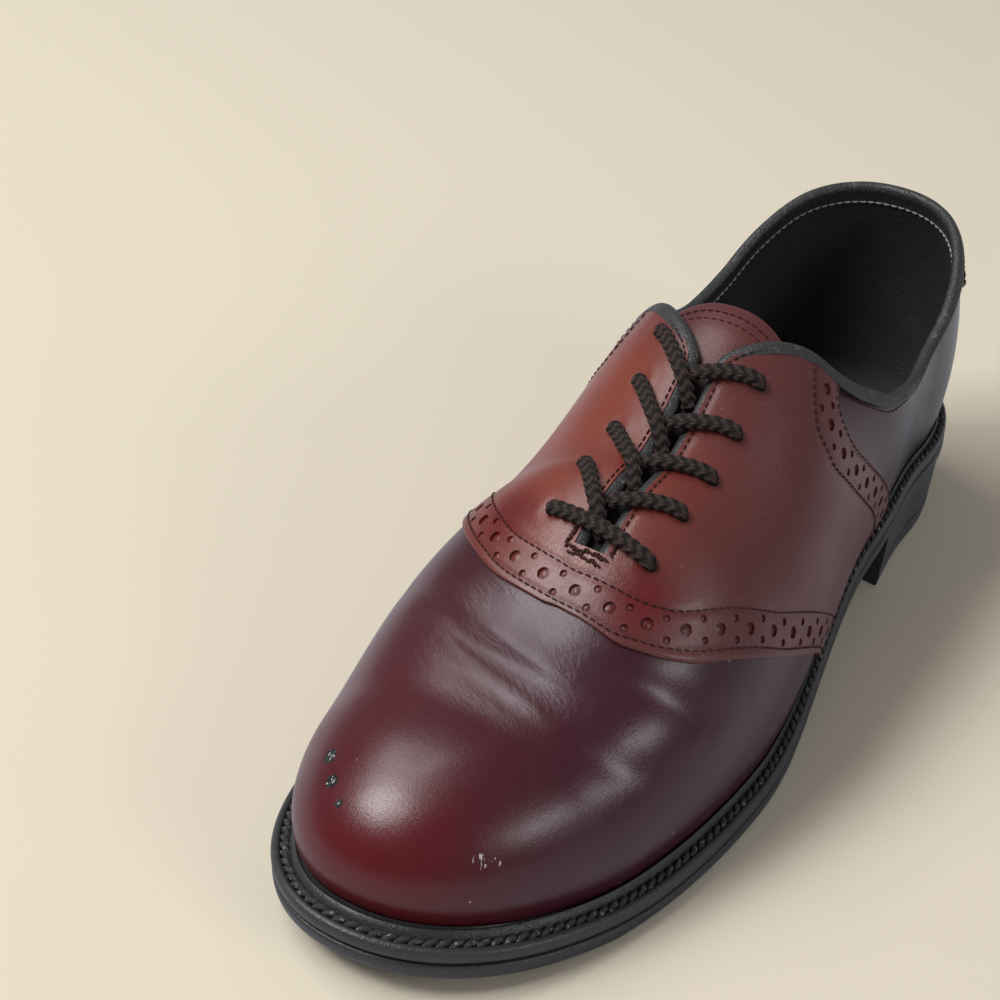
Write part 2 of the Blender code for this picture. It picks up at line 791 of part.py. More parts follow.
def make_lace_row(row):
    """One crossing of the lace, from eyelet to eyelet over the facings and the throat."""
    curve = bpy.data.curves.new(f"lace_row_{row + 1}", "CURVE")
    curve.dimensions = "3D"
    curve.bevel_depth = LACE_RADIUS
    curve.bevel_resolution = 2
    curve.use_fill_caps = True
    spline = curve.splines.new("POLY")
    spline.points.add(2 * LACE_COLUMNS)
    for i in range(-LACE_COLUMNS, LACE_COLUMNS + 1):
        share = abs(i) / LACE_COLUMNS
        point, normal = eyelet_place(OUTER if i >= 0 else INNER, row, share * EYELET_REACH)
        lift = OVERLAY + LACE_CLEARANCE + LACE_RADIUS + LACE_ARCH * math.cos(math.pi / 2 * share)
        spline.points[i + LACE_COLUMNS].co = (*(point + normal * lift), 1.0)
    place_object(f"lace_row_{row + 1}", curve, "lace")


def centre_on_floor():
    """Moves every piece so that the middle of the shoe's box stands over the origin."""
    bpy.context.view_layer.update()
    shown = [thing for thing in bpy.data.objects if not thing.hide_render]
    corners = np.array([thing.matrix_world @ v.co for thing in shown if thing.type == "MESH"
                        for v in thing.data.vertices])
    middle = (corners.min(axis=0) + corners.max(axis=0)) / 2
    for thing in bpy.data.objects:
        thing.location = (-middle[0], -middle[1], 0.0)


def main():
    for thing in list(bpy.data.objects):
        bpy.data.objects.remove(thing, do_unlink=True)
    dome = Dome()
    every_row = (0, LAST_ROW)
    whole = (0, BACK_COLUMN)
    vamp_bridge = dome.both((0, THROAT_COLUMN), (LAST_ROW, LAST_ROW + 1))
    upper = shell("upper", dome, dome.both(whole, every_row) + vamp_bridge, 0.0, -WALL, "plum")
    saddle_bridge = dome.both((FRONT_COLUMN, THROAT_COLUMN), (LAST_ROW, LAST_ROW + 1))
    saddle_faces = dome.both((FRONT_COLUMN, REAR_COLUMN), (1, LAST_ROW)) + saddle_bridge
    saddle = shell("saddle", dome, saddle_faces, GAP + OVERLAY, GAP, "mahogany")
    corners = {dome.vertex(side, TAB_COLUMN, TAB_ROW) for side in (OUTER, INNER)}
    tab_faces = dome.both((TAB_COLUMN, BACK_COLUMN), (TAB_ROW, LAST_ROW))
    tab_faces = [face for face in tab_faces if not corners & set(face)]
    shell("heel_tab", dome, tab_faces, GAP + OVERLAY, GAP, "mahogany")
    punch = make_punch()
    cut(upper, punch)
    cut(saddle, punch)
    make_outsole(dome)
    make_welt(dome)
    make_heel()
    make_insole(dome)
    make_tongue()
    make_binding(dome)
    for row in range(EYELET_ROWS):
        make_lace_row(row)
    centre_on_floor()


main()
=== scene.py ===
"""Looks of a worn left saddle shoe: oxblood vamp, mahogany saddle and heel tab, storm welt, rubber sole.

Every leather piece follows one surface, the last: a station runs round the sole's edge from the
toe tip (0) past the ball (1) and the heel's side (2) to the heel's back (3), and a turn runs from
the sole's edge (0 degrees) up to the top line of the foot (90 degrees).
"""

import math
from collections import namedtuple

import bmesh
import bpy
import numpy as np
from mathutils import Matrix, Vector, kdtree


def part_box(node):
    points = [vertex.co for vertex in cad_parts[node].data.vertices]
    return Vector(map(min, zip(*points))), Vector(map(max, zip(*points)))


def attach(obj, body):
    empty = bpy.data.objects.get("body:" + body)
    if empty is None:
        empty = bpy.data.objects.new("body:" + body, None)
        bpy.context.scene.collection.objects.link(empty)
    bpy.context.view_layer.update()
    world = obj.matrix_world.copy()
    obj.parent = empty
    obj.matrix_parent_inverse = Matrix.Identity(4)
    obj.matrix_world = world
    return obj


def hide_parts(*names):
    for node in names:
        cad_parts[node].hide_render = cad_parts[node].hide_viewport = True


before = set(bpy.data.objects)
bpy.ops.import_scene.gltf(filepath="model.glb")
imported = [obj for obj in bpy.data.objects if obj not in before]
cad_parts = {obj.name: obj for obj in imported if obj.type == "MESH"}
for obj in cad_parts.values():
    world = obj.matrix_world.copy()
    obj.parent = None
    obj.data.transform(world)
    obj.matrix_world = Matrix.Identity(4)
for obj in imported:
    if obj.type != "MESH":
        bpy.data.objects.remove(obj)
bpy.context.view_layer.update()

bl_info = {
    "name": "Saddle shoe",
    "version": (1, 0, 0),
    "blender": (4, 5, 0),
    "location": "View3D > Sidebar > Shoe",
    "description": "Dresses the packed shoe in leather, thread, lace and rubber",
    "category": "Object",
}

# Form of the last and of the sole, in metres
LENGTH = 0.308
BALL_OUTER = 0.0589
BALL_INNER = 0.0543
WAIST_OUTER = 0.0437
WAIST_INNER = 0.0398
HEEL_OUTER = 0.0384
HEEL_INNER = 0.0378
TOE_SHIFT = 0.0043
HEEL_SEAT = 0.0306
BALL_SEAT = 0.0082
TOE_SEAT = 0.0171
TOE_HEIGHT = 0.0530
VAMP_HEIGHT = 0.0889
INSTEP_HEIGHT = 0.1141
COMB_HEIGHT = 0.1271
TOE_DEPTH = 0.0504
THROAT_SHIFT = 0.0095
BULGE = 0.0089
LEDGE = 0.0097
WALL = 0.0018
OVERLAY = 0.0013
GAP = 0.0003
THROAT_HALF_GAP = 0.0046
EYELET_REACH = 0.0155
EYELET_RADIUS = 0.0014
EYELET_ROWS = 5
EYELET_PITCH = 0.0147
FIRST_EYELET = 0.2015
TONGUE_THICKNESS = 0.0026
TONGUE_GAP = 0.0007
TONGUE_HALF_WIDTH = 0.030
INSOLE_THICKNESS = 0.003
INSOLE_CLEARANCE = 0.0005
BINDING_HEIGHT = 0.0018
BINDING_GAP = 0.0005
WELT_THICKNESS = 0.0032
WELT_REACH = 0.008
BEAD_HEIGHT = 0.0034
OUTSOLE_THICKNESS = 0.0052
EDGE_ROUND = 0.0022
HEEL_TAPER = 0.003
BREAST_CURVE = 0.004

# Places along the shoe, as shares of its length from the heel's back
THROAT_END = 0.681
TAB_END = 0.088
BREAST = 0.265
TONGUE_FOOT = 0.705
TONGUE_TIP = 0.405
TONGUE_CORNER = 0.022
TOE_ROUND = 2.154
HEEL_ROUND = 2.195
HEEL_SIDE = 0.168
TOE_FAN = 0.60
HEEL_FAN, HEEL_FAN_END = 0.20, 0.115

Side = namedtuple("Side", "sign ball waist heel ball_at waist_at bulge_column")
OUTER = Side(1, BALL_OUTER, WAIST_OUTER, HEEL_OUTER, 0.645, 0.320, 3)
INNER = Side(-1, BALL_INNER, WAIST_INNER, HEEL_INNER, 0.732, 0.440, 4)
SIDES = (OUTER, INNER)

# Height of the seat: at, then shares of the heel, ball and toe seats
SEAT_LINE = (
    (0.00, 1.00, 0.00, 0.00),
    (0.28, 1.00, 0.00, 0.00),
    (0.46, 0.36, 0.64, 0.00),
    (0.61, 0.00, 1.00, 0.00),
    (0.79, 0.00, 1.00, 0.00),
    (0.90, 0.00, 0.60, 0.40),
    (1.00, 0.00, 0.00, 1.00),
)

# Height of the top line: at, then shares of the comb, instep, vamp and toe heights
TOP_LINE = (
    (0.000, 1.0, 0.0, 0.0, 0.00),
    (0.220, 1.0, 0.0, 0.0, 0.00),
    (0.400, 0.0, 1.0, 0.0, 0.00),
    (0.600, 0.0, 0.0, 1.0, 0.00),
    (0.836, 0.0, 0.0, 0.0, 1.00),
    (1.000, 0.0, 0.0, 0.0, 0.92),
)

# Sideways run of the top line: at, share of the throat's shift, share of the toe's shift
TOP_SHIFT = (
    (0.00, 0.00, 0.0),
    (0.15, 0.00, 0.0),
    (0.30, 0.05, 0.0),
    (0.42, 0.45, 0.0),
    (0.50, 0.82, 0.0),
    (0.60, 1.00, 0.0),
    (0.66, 1.00, 0.0),
    (0.86, 0.50, 0.5),
    (1.00, 0.00, 1.0),
)

# Cross-sections: at, squareness, share of the ledge, shares of the bulge on the outer and inner side
SECTIONS = (
    (0.00, 3.00, 0.50, 0.52, 0.52),
    (0.20, 3.00, 0.46, 0.52, 0.52),
    (0.44, 2.32, 0.44, 0.63, 1.00),
    (0.64, 2.32, 0.72, 0.63, 1.00),
    (0.87, 2.87, 0.92, 0.44, 0.44),
    (1.00, 2.87, 1.00, 0.44, 0.44),
)

# Top edge of the upper: at, turn in degrees
COLLAR = (
    (0.00, 35.5),
    (0.06, 32.5),
    (0.12, 26.0),
    (0.18, 20.5),
    (0.24, 18.5),
    (0.30, 23.5),
    (0.35, 35.0),
    (0.385, 47.0),
    (0.405, 57.5),
    (0.435, 70.0),
    (0.47, 83.0),
    (0.50, 90.0),
)

# Front edge of the saddle: turn in degrees, place on the outer and on the inner side
SADDLE_FRONT = (
    (0.0, 0.470, 0.470),
    (20.0, 0.567, 0.555),
    (33.0, 0.636, 0.612),
    (48.0, 0.695, 0.665),
    (62.0, 0.720, 0.698),
    (76.0, 0.732, 0.721),
    (90.0, 0.732, 0.732),
)

# Rear edge of the saddle: turn in degrees, place on both sides
SADDLE_REAR = (
    (0.0, 0.285),
    (8.0, 0.316),
    (17.0, 0.349),
    (24.0, 0.372),
    (35.0, 0.400),
    (42.0, 0.404),
    (47.0, 0.385),
)

# Inner border of the front brogued band: turn in degrees, place on the outer and inner side
FRONT_BAND = (
    (0.0, 0.428, 0.428),
    (15.0, 0.501, 0.492),
    (28.0, 0.558, 0.545),
    (43.0, 0.627, 0.612),
    (60.0, 0.683, 0.663),
    (73.0, 0.697, 0.687),
    (90.0, 0.701, 0.701),
)

# Inner border of the rear brogued band: turn in degrees, place on both sides
REAR_BAND = (
    (0.0, 0.318),
    (9.5, 0.356),
    (20.0, 0.396),
    (28.5, 0.424),
    (38.0, 0.446),
    (46.0, 0.449),
    (52.0, 0.432),
    (56.0, 0.412),
)
BANDS = {"front": (SADDLE_FRONT, FRONT_BAND), "rear": (SADDLE_REAR, REAR_BAND)}

# Half width of the tongue: at, share of its greatest half width
TONGUE_SIDES = (
    (0.40, 0.90),
    (0.45, 1.00),
    (0.60, 0.80),
    (0.71, 0.45),
)

# Welt from the upper outwards: share of the ledge, height as a share of the bead's
WELT_PROFILE = (
    (0.03, 0.84),
    (0.10, 0.97),
    (0.21, 1.00),
    (0.32, 0.90),
    (0.40, 0.66),
    (0.46, 0.34),
    (0.50, 0.12),
    (0.53, 0.00),
    (0.66, 0.00),
    (0.70, 0.10),
    (0.73, 0.28),
    (0.77, 0.38),
    (0.83, 0.40),
    (0.90, 0.34),
    (0.96, 0.18),
    (1.00, -0.06),
)
CHANNEL = 0.595
STITCH_LIFT = 0.0004
BEAD_WIDTH = 0.32

# Edge of the welt below its lip: share of the edge's round inwards, share of the thickness downwards
WELT_EDGE = (
    (0.00, 0.30),
    (0.02, 0.58),
    (0.16, 0.80),
    (0.60, 1.00),
)

# Side of the outsole from the top: share of the edge's round inwards, share of the thickness downwards
OUTSOLE_PROFILE = (
    (0.55, 0.00),
    (0.22, 0.03),
    (0.03, 0.13),
    (0.00, 0.30),
    (0.03, 0.52),
    (0.12, 0.72),
    (0.34, 0.89),
    (0.70, 0.98),
    (1.20, 1.00),
)

# Side of the heel from the floor up: share of the taper inwards, share of the height
HEEL_PROFILE = (
    (1.22, 0.00),
    (1.02, 0.02),
    (0.94, 0.07),
    (0.80, 0.28),
    (0.79, 0.30),
    (0.98, 0.315),
    (0.98, 0.335),
    (0.77, 0.35),
    (0.56, 0.60),
    (0.40, 0.88),
    (0.40, 0.93),
    (0.60, 1.00),
)

# Roll of the binding: share of the way across the edge, share of the height
BINDING_PROFILE = (
    (0.00, -0.9),
    (-0.04, -0.2),
    (0.03, 0.40),
    (0.17, 0.80),
    (0.40, 1.00),
    (0.64, 1.00),
    (0.84, 0.78),
    (0.97, 0.40),
    (1.04, -0.10),
    (1.02, -0.28),
    (1.08, -0.50),
    (1.10, -1.15),
    (1.02, -1.50),
)
FACING_PROFILE = (
    (0.00, -0.9),
    (0.01, -0.2),
    (0.04, 0.45),
    (0.12, 0.90),
    (0.28, 1.15),
    (0.46, 1.15),
    (0.62, 0.95),
    (0.74, 0.60),
    (0.82, 0.20),
    (0.86, -0.10),
    (0.88, -0.35),
    (0.88, -0.55),
    (0.86, -0.75),
)
FACING_START, FACING_WHOLE = 0.440, 0.480

# Folds of the vamp: height in metres (below 0 a trough), width, and the path as at and turn, first over
# the inner side and then over the outer
MAIN_FOLD = ((0.706, 30), (0.719, 39), (0.756, 63), (0.781, 78)), ((0.802, 88), (0.799, 72))
FOLDS = (
    (-0.0007, 0.0050, *MAIN_FOLD),
    (-0.0006, 0.0019, *MAIN_FOLD),
    (0.0007, 0.0045, ((0.712, 46), (0.738, 62), (0.764, 78)), ((0.782, 88), (0.778, 72))),
    (0.0006, 0.0040, ((0.735, 40), (0.774, 62), (0.800, 78)), ((0.822, 88), (0.815, 72))),
    (-0.0005, 0.0022, ((0.752, 46), (0.786, 66), (0.814, 80)), ((0.838, 86), (0.832, 72))),
    (-0.0012, 0.0046, (), ((0.758, 76), (0.748, 62), (0.730, 48), (0.706, 33), (0.690, 24))),
    (0.0006, 0.0060, (), ((0.785, 66), (0.768, 48), (0.740, 30))),
    (-0.0005, 0.0040, (), ((0.812, 58), (0.796, 44), (0.772, 32))),
    (-0.0003, 0.0013, ((0.742, 60), (0.776, 82)), ((0.790, 80), (0.782, 66))),
    (-0.0003, 0.0013, ((0.748, 52), (0.790, 80)), ((0.812, 84), (0.806, 68))),
    (-0.0003, 0.0011, (), ((0.640, 14), (0.652, 20), (0.668, 25))),
    (-0.0003, 0.0011, (), ((0.662, 12), (0.672, 18), (0.688, 22))),
    (-0.0003, 0.0010, (), ((0.682, 12), (0.690, 17), (0.704, 21))),
)
# Where they fade out: metres ahead of the saddle's edge, and degrees of turn above the sole
FOLD_START = 0.007
FOLD_FOOT, FOLD_RISE = 6.0, 14.0

# Dents of the saddle, written like the folds
SADDLE_DENTS = (
    (-0.0005, 0.0070, ((0.560, 20), (0.600, 40), (0.620, 58)), ()),
    (0.0004, 0.0100, (), ((0.520, 30), (0.560, 48), (0.590, 62))),
)

# Shift of the outer and inner eyelet of each row towards the toe, in metres
EYELET_SHIFTS = (
    (0.0046, 0.0016),
    (0.0040, 0.0004),
    (0.0026, -0.0012),
    (0.0030, -0.0016),
    (0.0034, -0.0018),
)

# Lace strands of rows 2 to 5: across the throat, towards the toe and above the facing, in metres
OUTER_STRAND = (
    (0.0155, 0.0000, -0.0040),
    (0.0155, 0.0000, -0.0012),
    (0.0148, 0.0001, 0.0010),
    (0.0128, 0.0006, 0.0016),
    (0.0092, 0.0020, 0.0017),
    (0.0058, 0.0036, 0.0018),
    (0.0026, 0.0050, 0.0016),
    (-0.0004, 0.0060, 0.0008),
    (-0.0026, 0.0065, -0.0008),
    (-0.0040, 0.0068, -0.0026),
)
INNER_STRAND = (
    (-0.0155, 0.0000, -0.0040),
    (-0.0155, 0.0000, -0.0012),
    (-0.0149, 0.0006, 0.0010),
    (-0.0130, 0.0022, 0.0017),
    (-0.0094, 0.0062, 0.0022),
    (-0.0062, 0.0098, 0.0026),
    (-0.0034, 0.0128, 0.0022),
    (-0.0012, 0.0158, 0.0000),
    (0.0006, 0.0186, -0.0030),
)
FIRST_STRAND = (
    (0.0155, 0.0000, -0.0040),
    (0.0155, 0.0000, -0.0012),
    (0.0148, 0.0000, 0.0010),
    (0.0122, 0.0000, 0.0017),
    (0.0060, 0.0000, 0.0020),
    (0.0000, 0.0000, 0.0021),
    (-0.0060, 0.0000, 0.0020),
    (-0.0122, 0.0000, 0.0017),
    (-0.0148, 0.0000, 0.0010),
    (-0.0155, 0.0000, -0.0012),
    (-0.0155, 0.0000, -0.0040),
)


def length_property(name, description, default, precision=4):
    return bpy.props.FloatProperty(
        name=name, description=description, default=default, unit="LENGTH", precision=precision
    )


def colour_property(name, description, default):
    return bpy.props.FloatVectorProperty(
        name=name, description=description, default=default, size=3, min=0.0, max=1.0, subtype="COLOR"
    )


class ShoeSizes(bpy.types.PropertyGroup):
    """Sizes of the fine work on the leather."""

    big_hole: length_property("Big hole", "Width of a large brogue hole", 0.0035)
    small_hole: length_property("Small hole", "Width of a small brogue hole", 0.0022)
    hole_pitch: length_property("Hole pitch", "Distance between large holes", 0.0105)
    hole_depth: length_property("Hole depth", "Depth of a brogue hole", 0.0009)
    stitch_pitch: length_property("Stitch pitch", "Distance between two stitches", 0.0024)
    thread_width: length_property("Thread", "Width of the sewing thread", 0.0005, 5)
    rope_pitch: length_property("Welt stitch", "Distance between two welt stitches", 0.0034)
    lace_width: length_property("Lace width", "Width of the lace", 0.0043)
    lace_thickness: length_property("Lace thickness", "Thickness of the lace", 0.0033)
    fold_depth: bpy.props.FloatProperty(
        name="Fold depth",
        description="How deep the walking folds are",
        default=0.85,
        min=0.0,
        max=2.0,
        subtype="FACTOR",
    )


class ShoeColours(bpy.types.PropertyGroup):
    """Colours of the finishes."""

    plum: colour_property("Plum", "Vamp and quarters", (0.050, 0.0065, 0.0145))
    oxblood: colour_property("Oxblood", "Red of the toe", (0.110, 0.0025, 0.0050))
    night: colour_property("Night", "Darkest plum of the quarters", (0.011, 0.0085, 0.0150))
    mahogany: colour_property("Mahogany", "Saddle, tongue and tab", (0.125, 0.032, 0.028))
    chestnut: colour_property("Chestnut", "Redder parts of the saddle", (0.250, 0.046, 0.021))
    raw_edge: colour_property("Raw edge", "Cut edges of the leather", (0.30, 0.12, 0.085))
    binding: colour_property("Binding", "Rolled edge", (0.022, 0.022, 0.023))
    rubbed: colour_property("Rubbed", "Worn grey of dark pieces", (0.16, 0.16, 0.165))
    # The lining colour also paints the shade on the tongue low in the throat
    lining: colour_property("Lining", "Inside of the shoe", (0.012, 0.011, 0.011))
    thread: colour_property("Thread", "Sewing thread", (0.042, 0.011, 0.011))
    pale_thread: colour_property("Pale thread", "Thread inside the collar", (0.33, 0.32, 0.30))
    tack: colour_property("Tack", "Thread at the throat's end", (0.060, 0.020, 0.016))
    lace: colour_property("Lace", "Braided lace", (0.022, 0.0135, 0.0115))
    rubber: colour_property("Rubber", "Sole and heel", (0.0200, 0.0210, 0.0210))
    floor: colour_property("Floor", "Pale floor", (0.715, 0.645, 0.515))


def sizes():
    return bpy.context.scene.shoe_sizes


def colours():
    return bpy.context.scene.shoe_colours


# The last


def smooth(table, column, at, flat=False):
    """Monotone cubic through one column of a table, read at the places `at`."""
    knots = np.array([row[0] for row in table])
    values = np.array([row[column] for row in table])
    steps = np.diff(values) / np.diff(knots)
    slopes = np.zeros(len(knots))
    if not flat:
        slopes[0], slopes[-1] = steps[0], steps[-1]
        for i in range(1, len(knots) - 1):
            if steps[i - 1] * steps[i] > 0:
                slopes[i] = 2 * steps[i - 1] * steps[i] / (steps[i - 1] + steps[i])
    at = np.clip(at, knots[0], knots[-1])
    i = np.clip(np.searchsorted(knots, at) - 1, 0, len(knots) - 2)
    width = knots[i + 1] - knots[i]
    u = (at - knots[i]) / width
    start = (2 * u**3 - 3 * u**2 + 1) * values[i] + (u**3 - 2 * u**2 + u) * width * slopes[i]
    end = (3 * u**2 - 2 * u**3) * values[i + 1] + (u**3 - u**2) * width * slopes[i + 1]
    return start + end


def blend(table, lengths, at):
    return sum(length * smooth(table, i + 1, at) for i, length in enumerate(lengths))


def seat_height(y):
    return blend(SEAT_LINE, (HEEL_SEAT, BALL_SEAT, TOE_SEAT), y / LENGTH)


def top_height(y):
    return blend(TOP_LINE, (COMB_HEIGHT, INSTEP_HEIGHT, VAMP_HEIGHT, TOE_HEIGHT), y / LENGTH)


def top_shift(y):
    return blend(TOP_SHIFT, (THROAT_SHIFT, -TOE_SHIFT), y / LENGTH)


def mix(a, b, share):
    return a + (b - a) * share


def unit(vectors):
    return vectors / np.linalg.norm(vectors, axis=-1, keepdims=True)


def outline(side, station):
    """Points (x, distance from the heel's back) of the sole's edge."""
    station = np.asarray(station, float)
    ball, heel_side = side.ball_at * LENGTH, HEEL_SIDE * LENGTH
    toe = math.pi / 2 * (1 - np.clip(station, 0, 1))
    heel = math.pi / 2 * np.clip(station - 2, 0, 1)
    tip = -side.sign * TOE_SHIFT
    toe_x = tip + (side.ball - tip) * np.cos(toe).clip(0) ** (2 / TOE_ROUND)
    toe_y = ball + (LENGTH - ball) * np.sin(toe) ** (2 / TOE_ROUND)
    waist_y = mix(ball, heel_side, np.clip(station - 1, 0, 1))
    widths = ((HEEL_SIDE, side.heel), (side.waist_at, side.waist), (side.ball_at, side.ball))
    waist_x = smooth(widths, 1, waist_y / LENGTH, flat=True)
    heel_x = side.heel * np.cos(heel).clip(0) ** (2 / HEEL_ROUND)
    heel_y = heel_side * (1 - np.sin(heel) ** (2 / HEEL_ROUND))
    x = np.where(station <= 1, toe_x, np.where(station <= 2, waist_x, heel_x))
    y = np.where(station <= 1, toe_y, np.where(station <= 2, waist_y, heel_y))
    return np.stack([side.sign * x, y], -1)


def inset(side, station, depth):
    """The sole's edge moved inwards by a depth, and its outward normals."""
    station = np.asarray(station, float)
    step = 1e-3
    run = outline(side, np.clip(station + step, 0, 3)) - outline(side, np.clip(station - step, 0, 3))
    normal = unit(np.stack([-run[..., 1], run[..., 0]], -1) * side.sign)
    normal[station <= 0] = (0, 1)
    normal[station >= 3] = (0, -1)
    return outline(side, station) - normal * np.asarray(depth)[..., None], normal


def ledge(side, station):
    """Width of the welt outside the upper."""
    return LEDGE * smooth(SECTIONS, 2, outline(side, station)[..., 1] / LENGTH)


def feather(side, station):
    """Where the upper meets the sole."""
    return inset(side, station, ledge(side, station))


def station_table(side):
    stations = np.linspace(0, 3, 3001)
    places = feather(side, stations)[0][:, 1] / LENGTH
    return places[0], np.sqrt(np.maximum(places[0] - places, 0)), stations


def station_at(side, at):
    """Station whose feather point lies at a share of the length."""
    first, depth, stations = STATION_TABLES[side]
    return np.interp(np.sqrt(np.maximum(first - np.asarray(at, float), 0)), depth, stations)


def top_place(foot_y):
    """Place on the top line that a foot point leans towards: fans close in at the toe and heel."""
    front, front_end = TOE_FAN * LENGTH, LENGTH - TOE_DEPTH
    back, back_end = HEEL_FAN * LENGTH, HEEL_FAN_END * LENGTH
    toe_foot = LENGTH - LEDGE * SECTIONS[-1][2]
    heel_foot = LEDGE * SECTIONS[0][2]
    ahead = np.clip((foot_y - front) / (toe_foot - front), 0, 1)
    behind = np.clip((back - foot_y) / (back - heel_foot), 0, 1)
    place = np.where(foot_y > front, mix(front, front_end, np.sin(math.pi / 2 * ahead)), foot_y)
    return np.where(foot_y < back, mix(back, back_end, np.sin(math.pi / 2 * behind)), place)


def skin(side, station, turn):
    """Points of the last's surface, toe towards -Y, the heel's back at y = 0."""
    station, turn = np.broadcast_arrays(np.asarray(station, float), np.asarray(turn, float))
    foot, normal = feather(side, station)
    at = outline(side, station)[..., 1] / LENGTH
    top_y = top_place(foot[..., 1])
    top = np.stack([top_shift(top_y), top_y], -1)
    power = 2 / smooth(SECTIONS, 1, at)
    bulge = BULGE * smooth(SECTIONS, side.bulge_column, at)
    reach = np.cos(turn).clip(0) ** power
    rise = np.sin(turn).clip(0) ** power
    plan = top + (foot - top) * reach[..., None]
    plan = plan + normal * (bulge * np.sin(math.pi * rise**0.75))[..., None]
    seat = seat_height(outline(side, station)[..., 1])
    height = mix(seat, top_height(plan[..., 1]), rise)
    return np.stack([plan[..., 0], -plan[..., 1], height], -1)


def skin_normal(side, station, turn):
    """Outward unit normals of the surface."""
    station, turn = np.broadcast_arrays(np.asarray(station, float), np.asarray(turn, float))
    step = 4e-3
    along = skin(side, np.clip(station + step, 0, 3), turn) - skin(side, np.clip(station - step, 0, 3), turn)
    top = math.pi / 2
    up = skin(side, station, np.clip(turn + step, 0, top)) - skin(side, station, np.clip(turn - step, 0, top))
    return unit(np.cross(along, up) * side.sign)


def turn_at_reach(side, station, reach):
    """Turn of the point that lies a plan distance from the top line."""
    foot = feather(side, station)[0]
    top_y = top_place(foot[..., 1])
    span = np.hypot(foot[..., 0] - top_shift(top_y), foot[..., 1] - top_y)
    power = smooth(SECTIONS, 1, outline(side, station)[..., 1] / LENGTH) / 2
    return np.arccos(np.clip(reach / span, 0, 1) ** power)


def edge_turn(side, station):
    """Turn of the upper's top edge: the collar, and the facings along the throat."""
    at = feather(side, station)[0][..., 1] / LENGTH
    collar = np.radians(smooth(COLLAR, 1, at))
    return np.minimum(collar, turn_at_reach(side, station, THROAT_HALF_GAP))


def bead_turn(side, station):
    """Turn of the height that the welt's bead covers."""
    y = outline(side, station)[..., 1]
    power = smooth(SECTIONS, 1, y / LENGTH) / 2
    return np.arcsin((BEAD_HEIGHT / (top_height(y) - seat_height(y))) ** power)


def side_column(side):
    return 1 if side is OUTER else 2


def front_station(side, turn):
    return station_at(side, smooth(SADDLE_FRONT, side_column(side), np.degrees(turn)))


def rear_station(side, turn):
    return station_at(side, smooth(SADDLE_REAR, 1, np.degrees(turn)))


STATION_TABLES = {side: station_table(side) for side in SIDES}


def shoe_shift():
    """From the last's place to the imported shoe's, read from the outsole's box."""
    low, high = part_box("outsole")
    return np.array([(low.x + high.x) / 2 - (BALL_OUTER - BALL_INNER) / 2, low.y + LENGTH, 0.0])


SHIFT = shoe_shift()


# Walking folds


def curve_through(spots, places):
    """Points of a cubic through spots at places counted in spots, and the spot before and share beyond it."""
    whole = np.clip(places.astype(int), 0, len(spots) - 2)
    share = (places - whole)[:, None]
    before, after = np.clip(whole - 1, 0, None), np.clip(whole + 2, None, len(spots) - 1)
    start_slope = (spots[whole + 1] - spots[before]) / 2
    end_slope = (spots[after] - spots[whole]) / 2
    points = (
        (2 * share**3 - 3 * share**2 + 1) * spots[whole]
        + (share**3 - 2 * share**2 + share) * start_slope
        + (3 * share**2 - 2 * share**3) * spots[whole + 1]
        + (share**3 - share**2) * end_slope
    )
    return points, whole, share


def fold_lines(folds):
    """Each fold as its height, its width and close points along its path."""
    lines = []
    for height, width, inner, outer in folds:
        path = [(INNER, *spot) for spot in inner] + [(OUTER, *spot) for spot in outer]
        spots = np.array([skin(side, station_at(side, at), math.radians(turn)) for side, at, turn in path])
        places = np.linspace(0, len(path) - 1, 16 * len(path))
        lines.append((height, width, curve_through(spots, places)[0]))
    return lines


VAMP_LINES, SADDLE_LINES = fold_lines(FOLDS), fold_lines(SADDLE_DENTS)


def waves(points, lines):
    """Sum of the soft ridges and troughs at each point."""
    flat = points.reshape(-1, 3)
    total = np.zeros(len(flat))
    for height, width, line in lines:
        low, high = line.min(axis=0) - 3 * width, line.max(axis=0) + 3 * width
        near = np.nonzero(((flat > low) & (flat < high)).all(axis=1))[0]
        if not len(near):
            continue
        gaps = ((flat[near][:, None] - line[None]) ** 2).sum(-1)
        closest = gaps.argmin(axis=1)
        along = closest / (len(line) - 1)
        fade = np.sin(math.pi * np.clip(along, 0.02, 0.98)) ** 0.6
        total[near] += height * fade * np.exp(-gaps[np.arange(len(near)), closest] / width**2)
    return total.reshape(points.shape[:-1])


def ease(share):
    share = np.clip(share, 0, 1)
    return share * share * (3 - 2 * share)


def relief(side, station, turn, points):
    """How far the walked leather stands off the last: folds in front of the saddle, dents in it."""
    at = feather(side, station)[0][..., 1] / LENGTH
    edge = smooth(SADDLE_FRONT, side_column(side), np.degrees(turn))
    ahead = (at - edge) * LENGTH
    total = waves(points, VAMP_LINES) * ease(ahead / FOLD_START + 0.1) + waves(points, SADDLE_LINES)
    return total * ease((np.degrees(turn) - FOLD_FOOT) / FOLD_RISE) * sizes().fold_depth


def on_shoe(side, station, turn, lift=0.0):
    """Points and normals on the worn leather, raised by a lift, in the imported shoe's place."""
    station, turn = np.broadcast_arrays(np.asarray(station, float), np.asarray(turn, float))
    points, normals = skin(side, station, turn), skin_normal(side, station, turn)
    height = relief(side, station, turn, points) + lift
    return points + normals * np.asarray(height)[..., None] + SHIFT, normals


# Grid of the upper

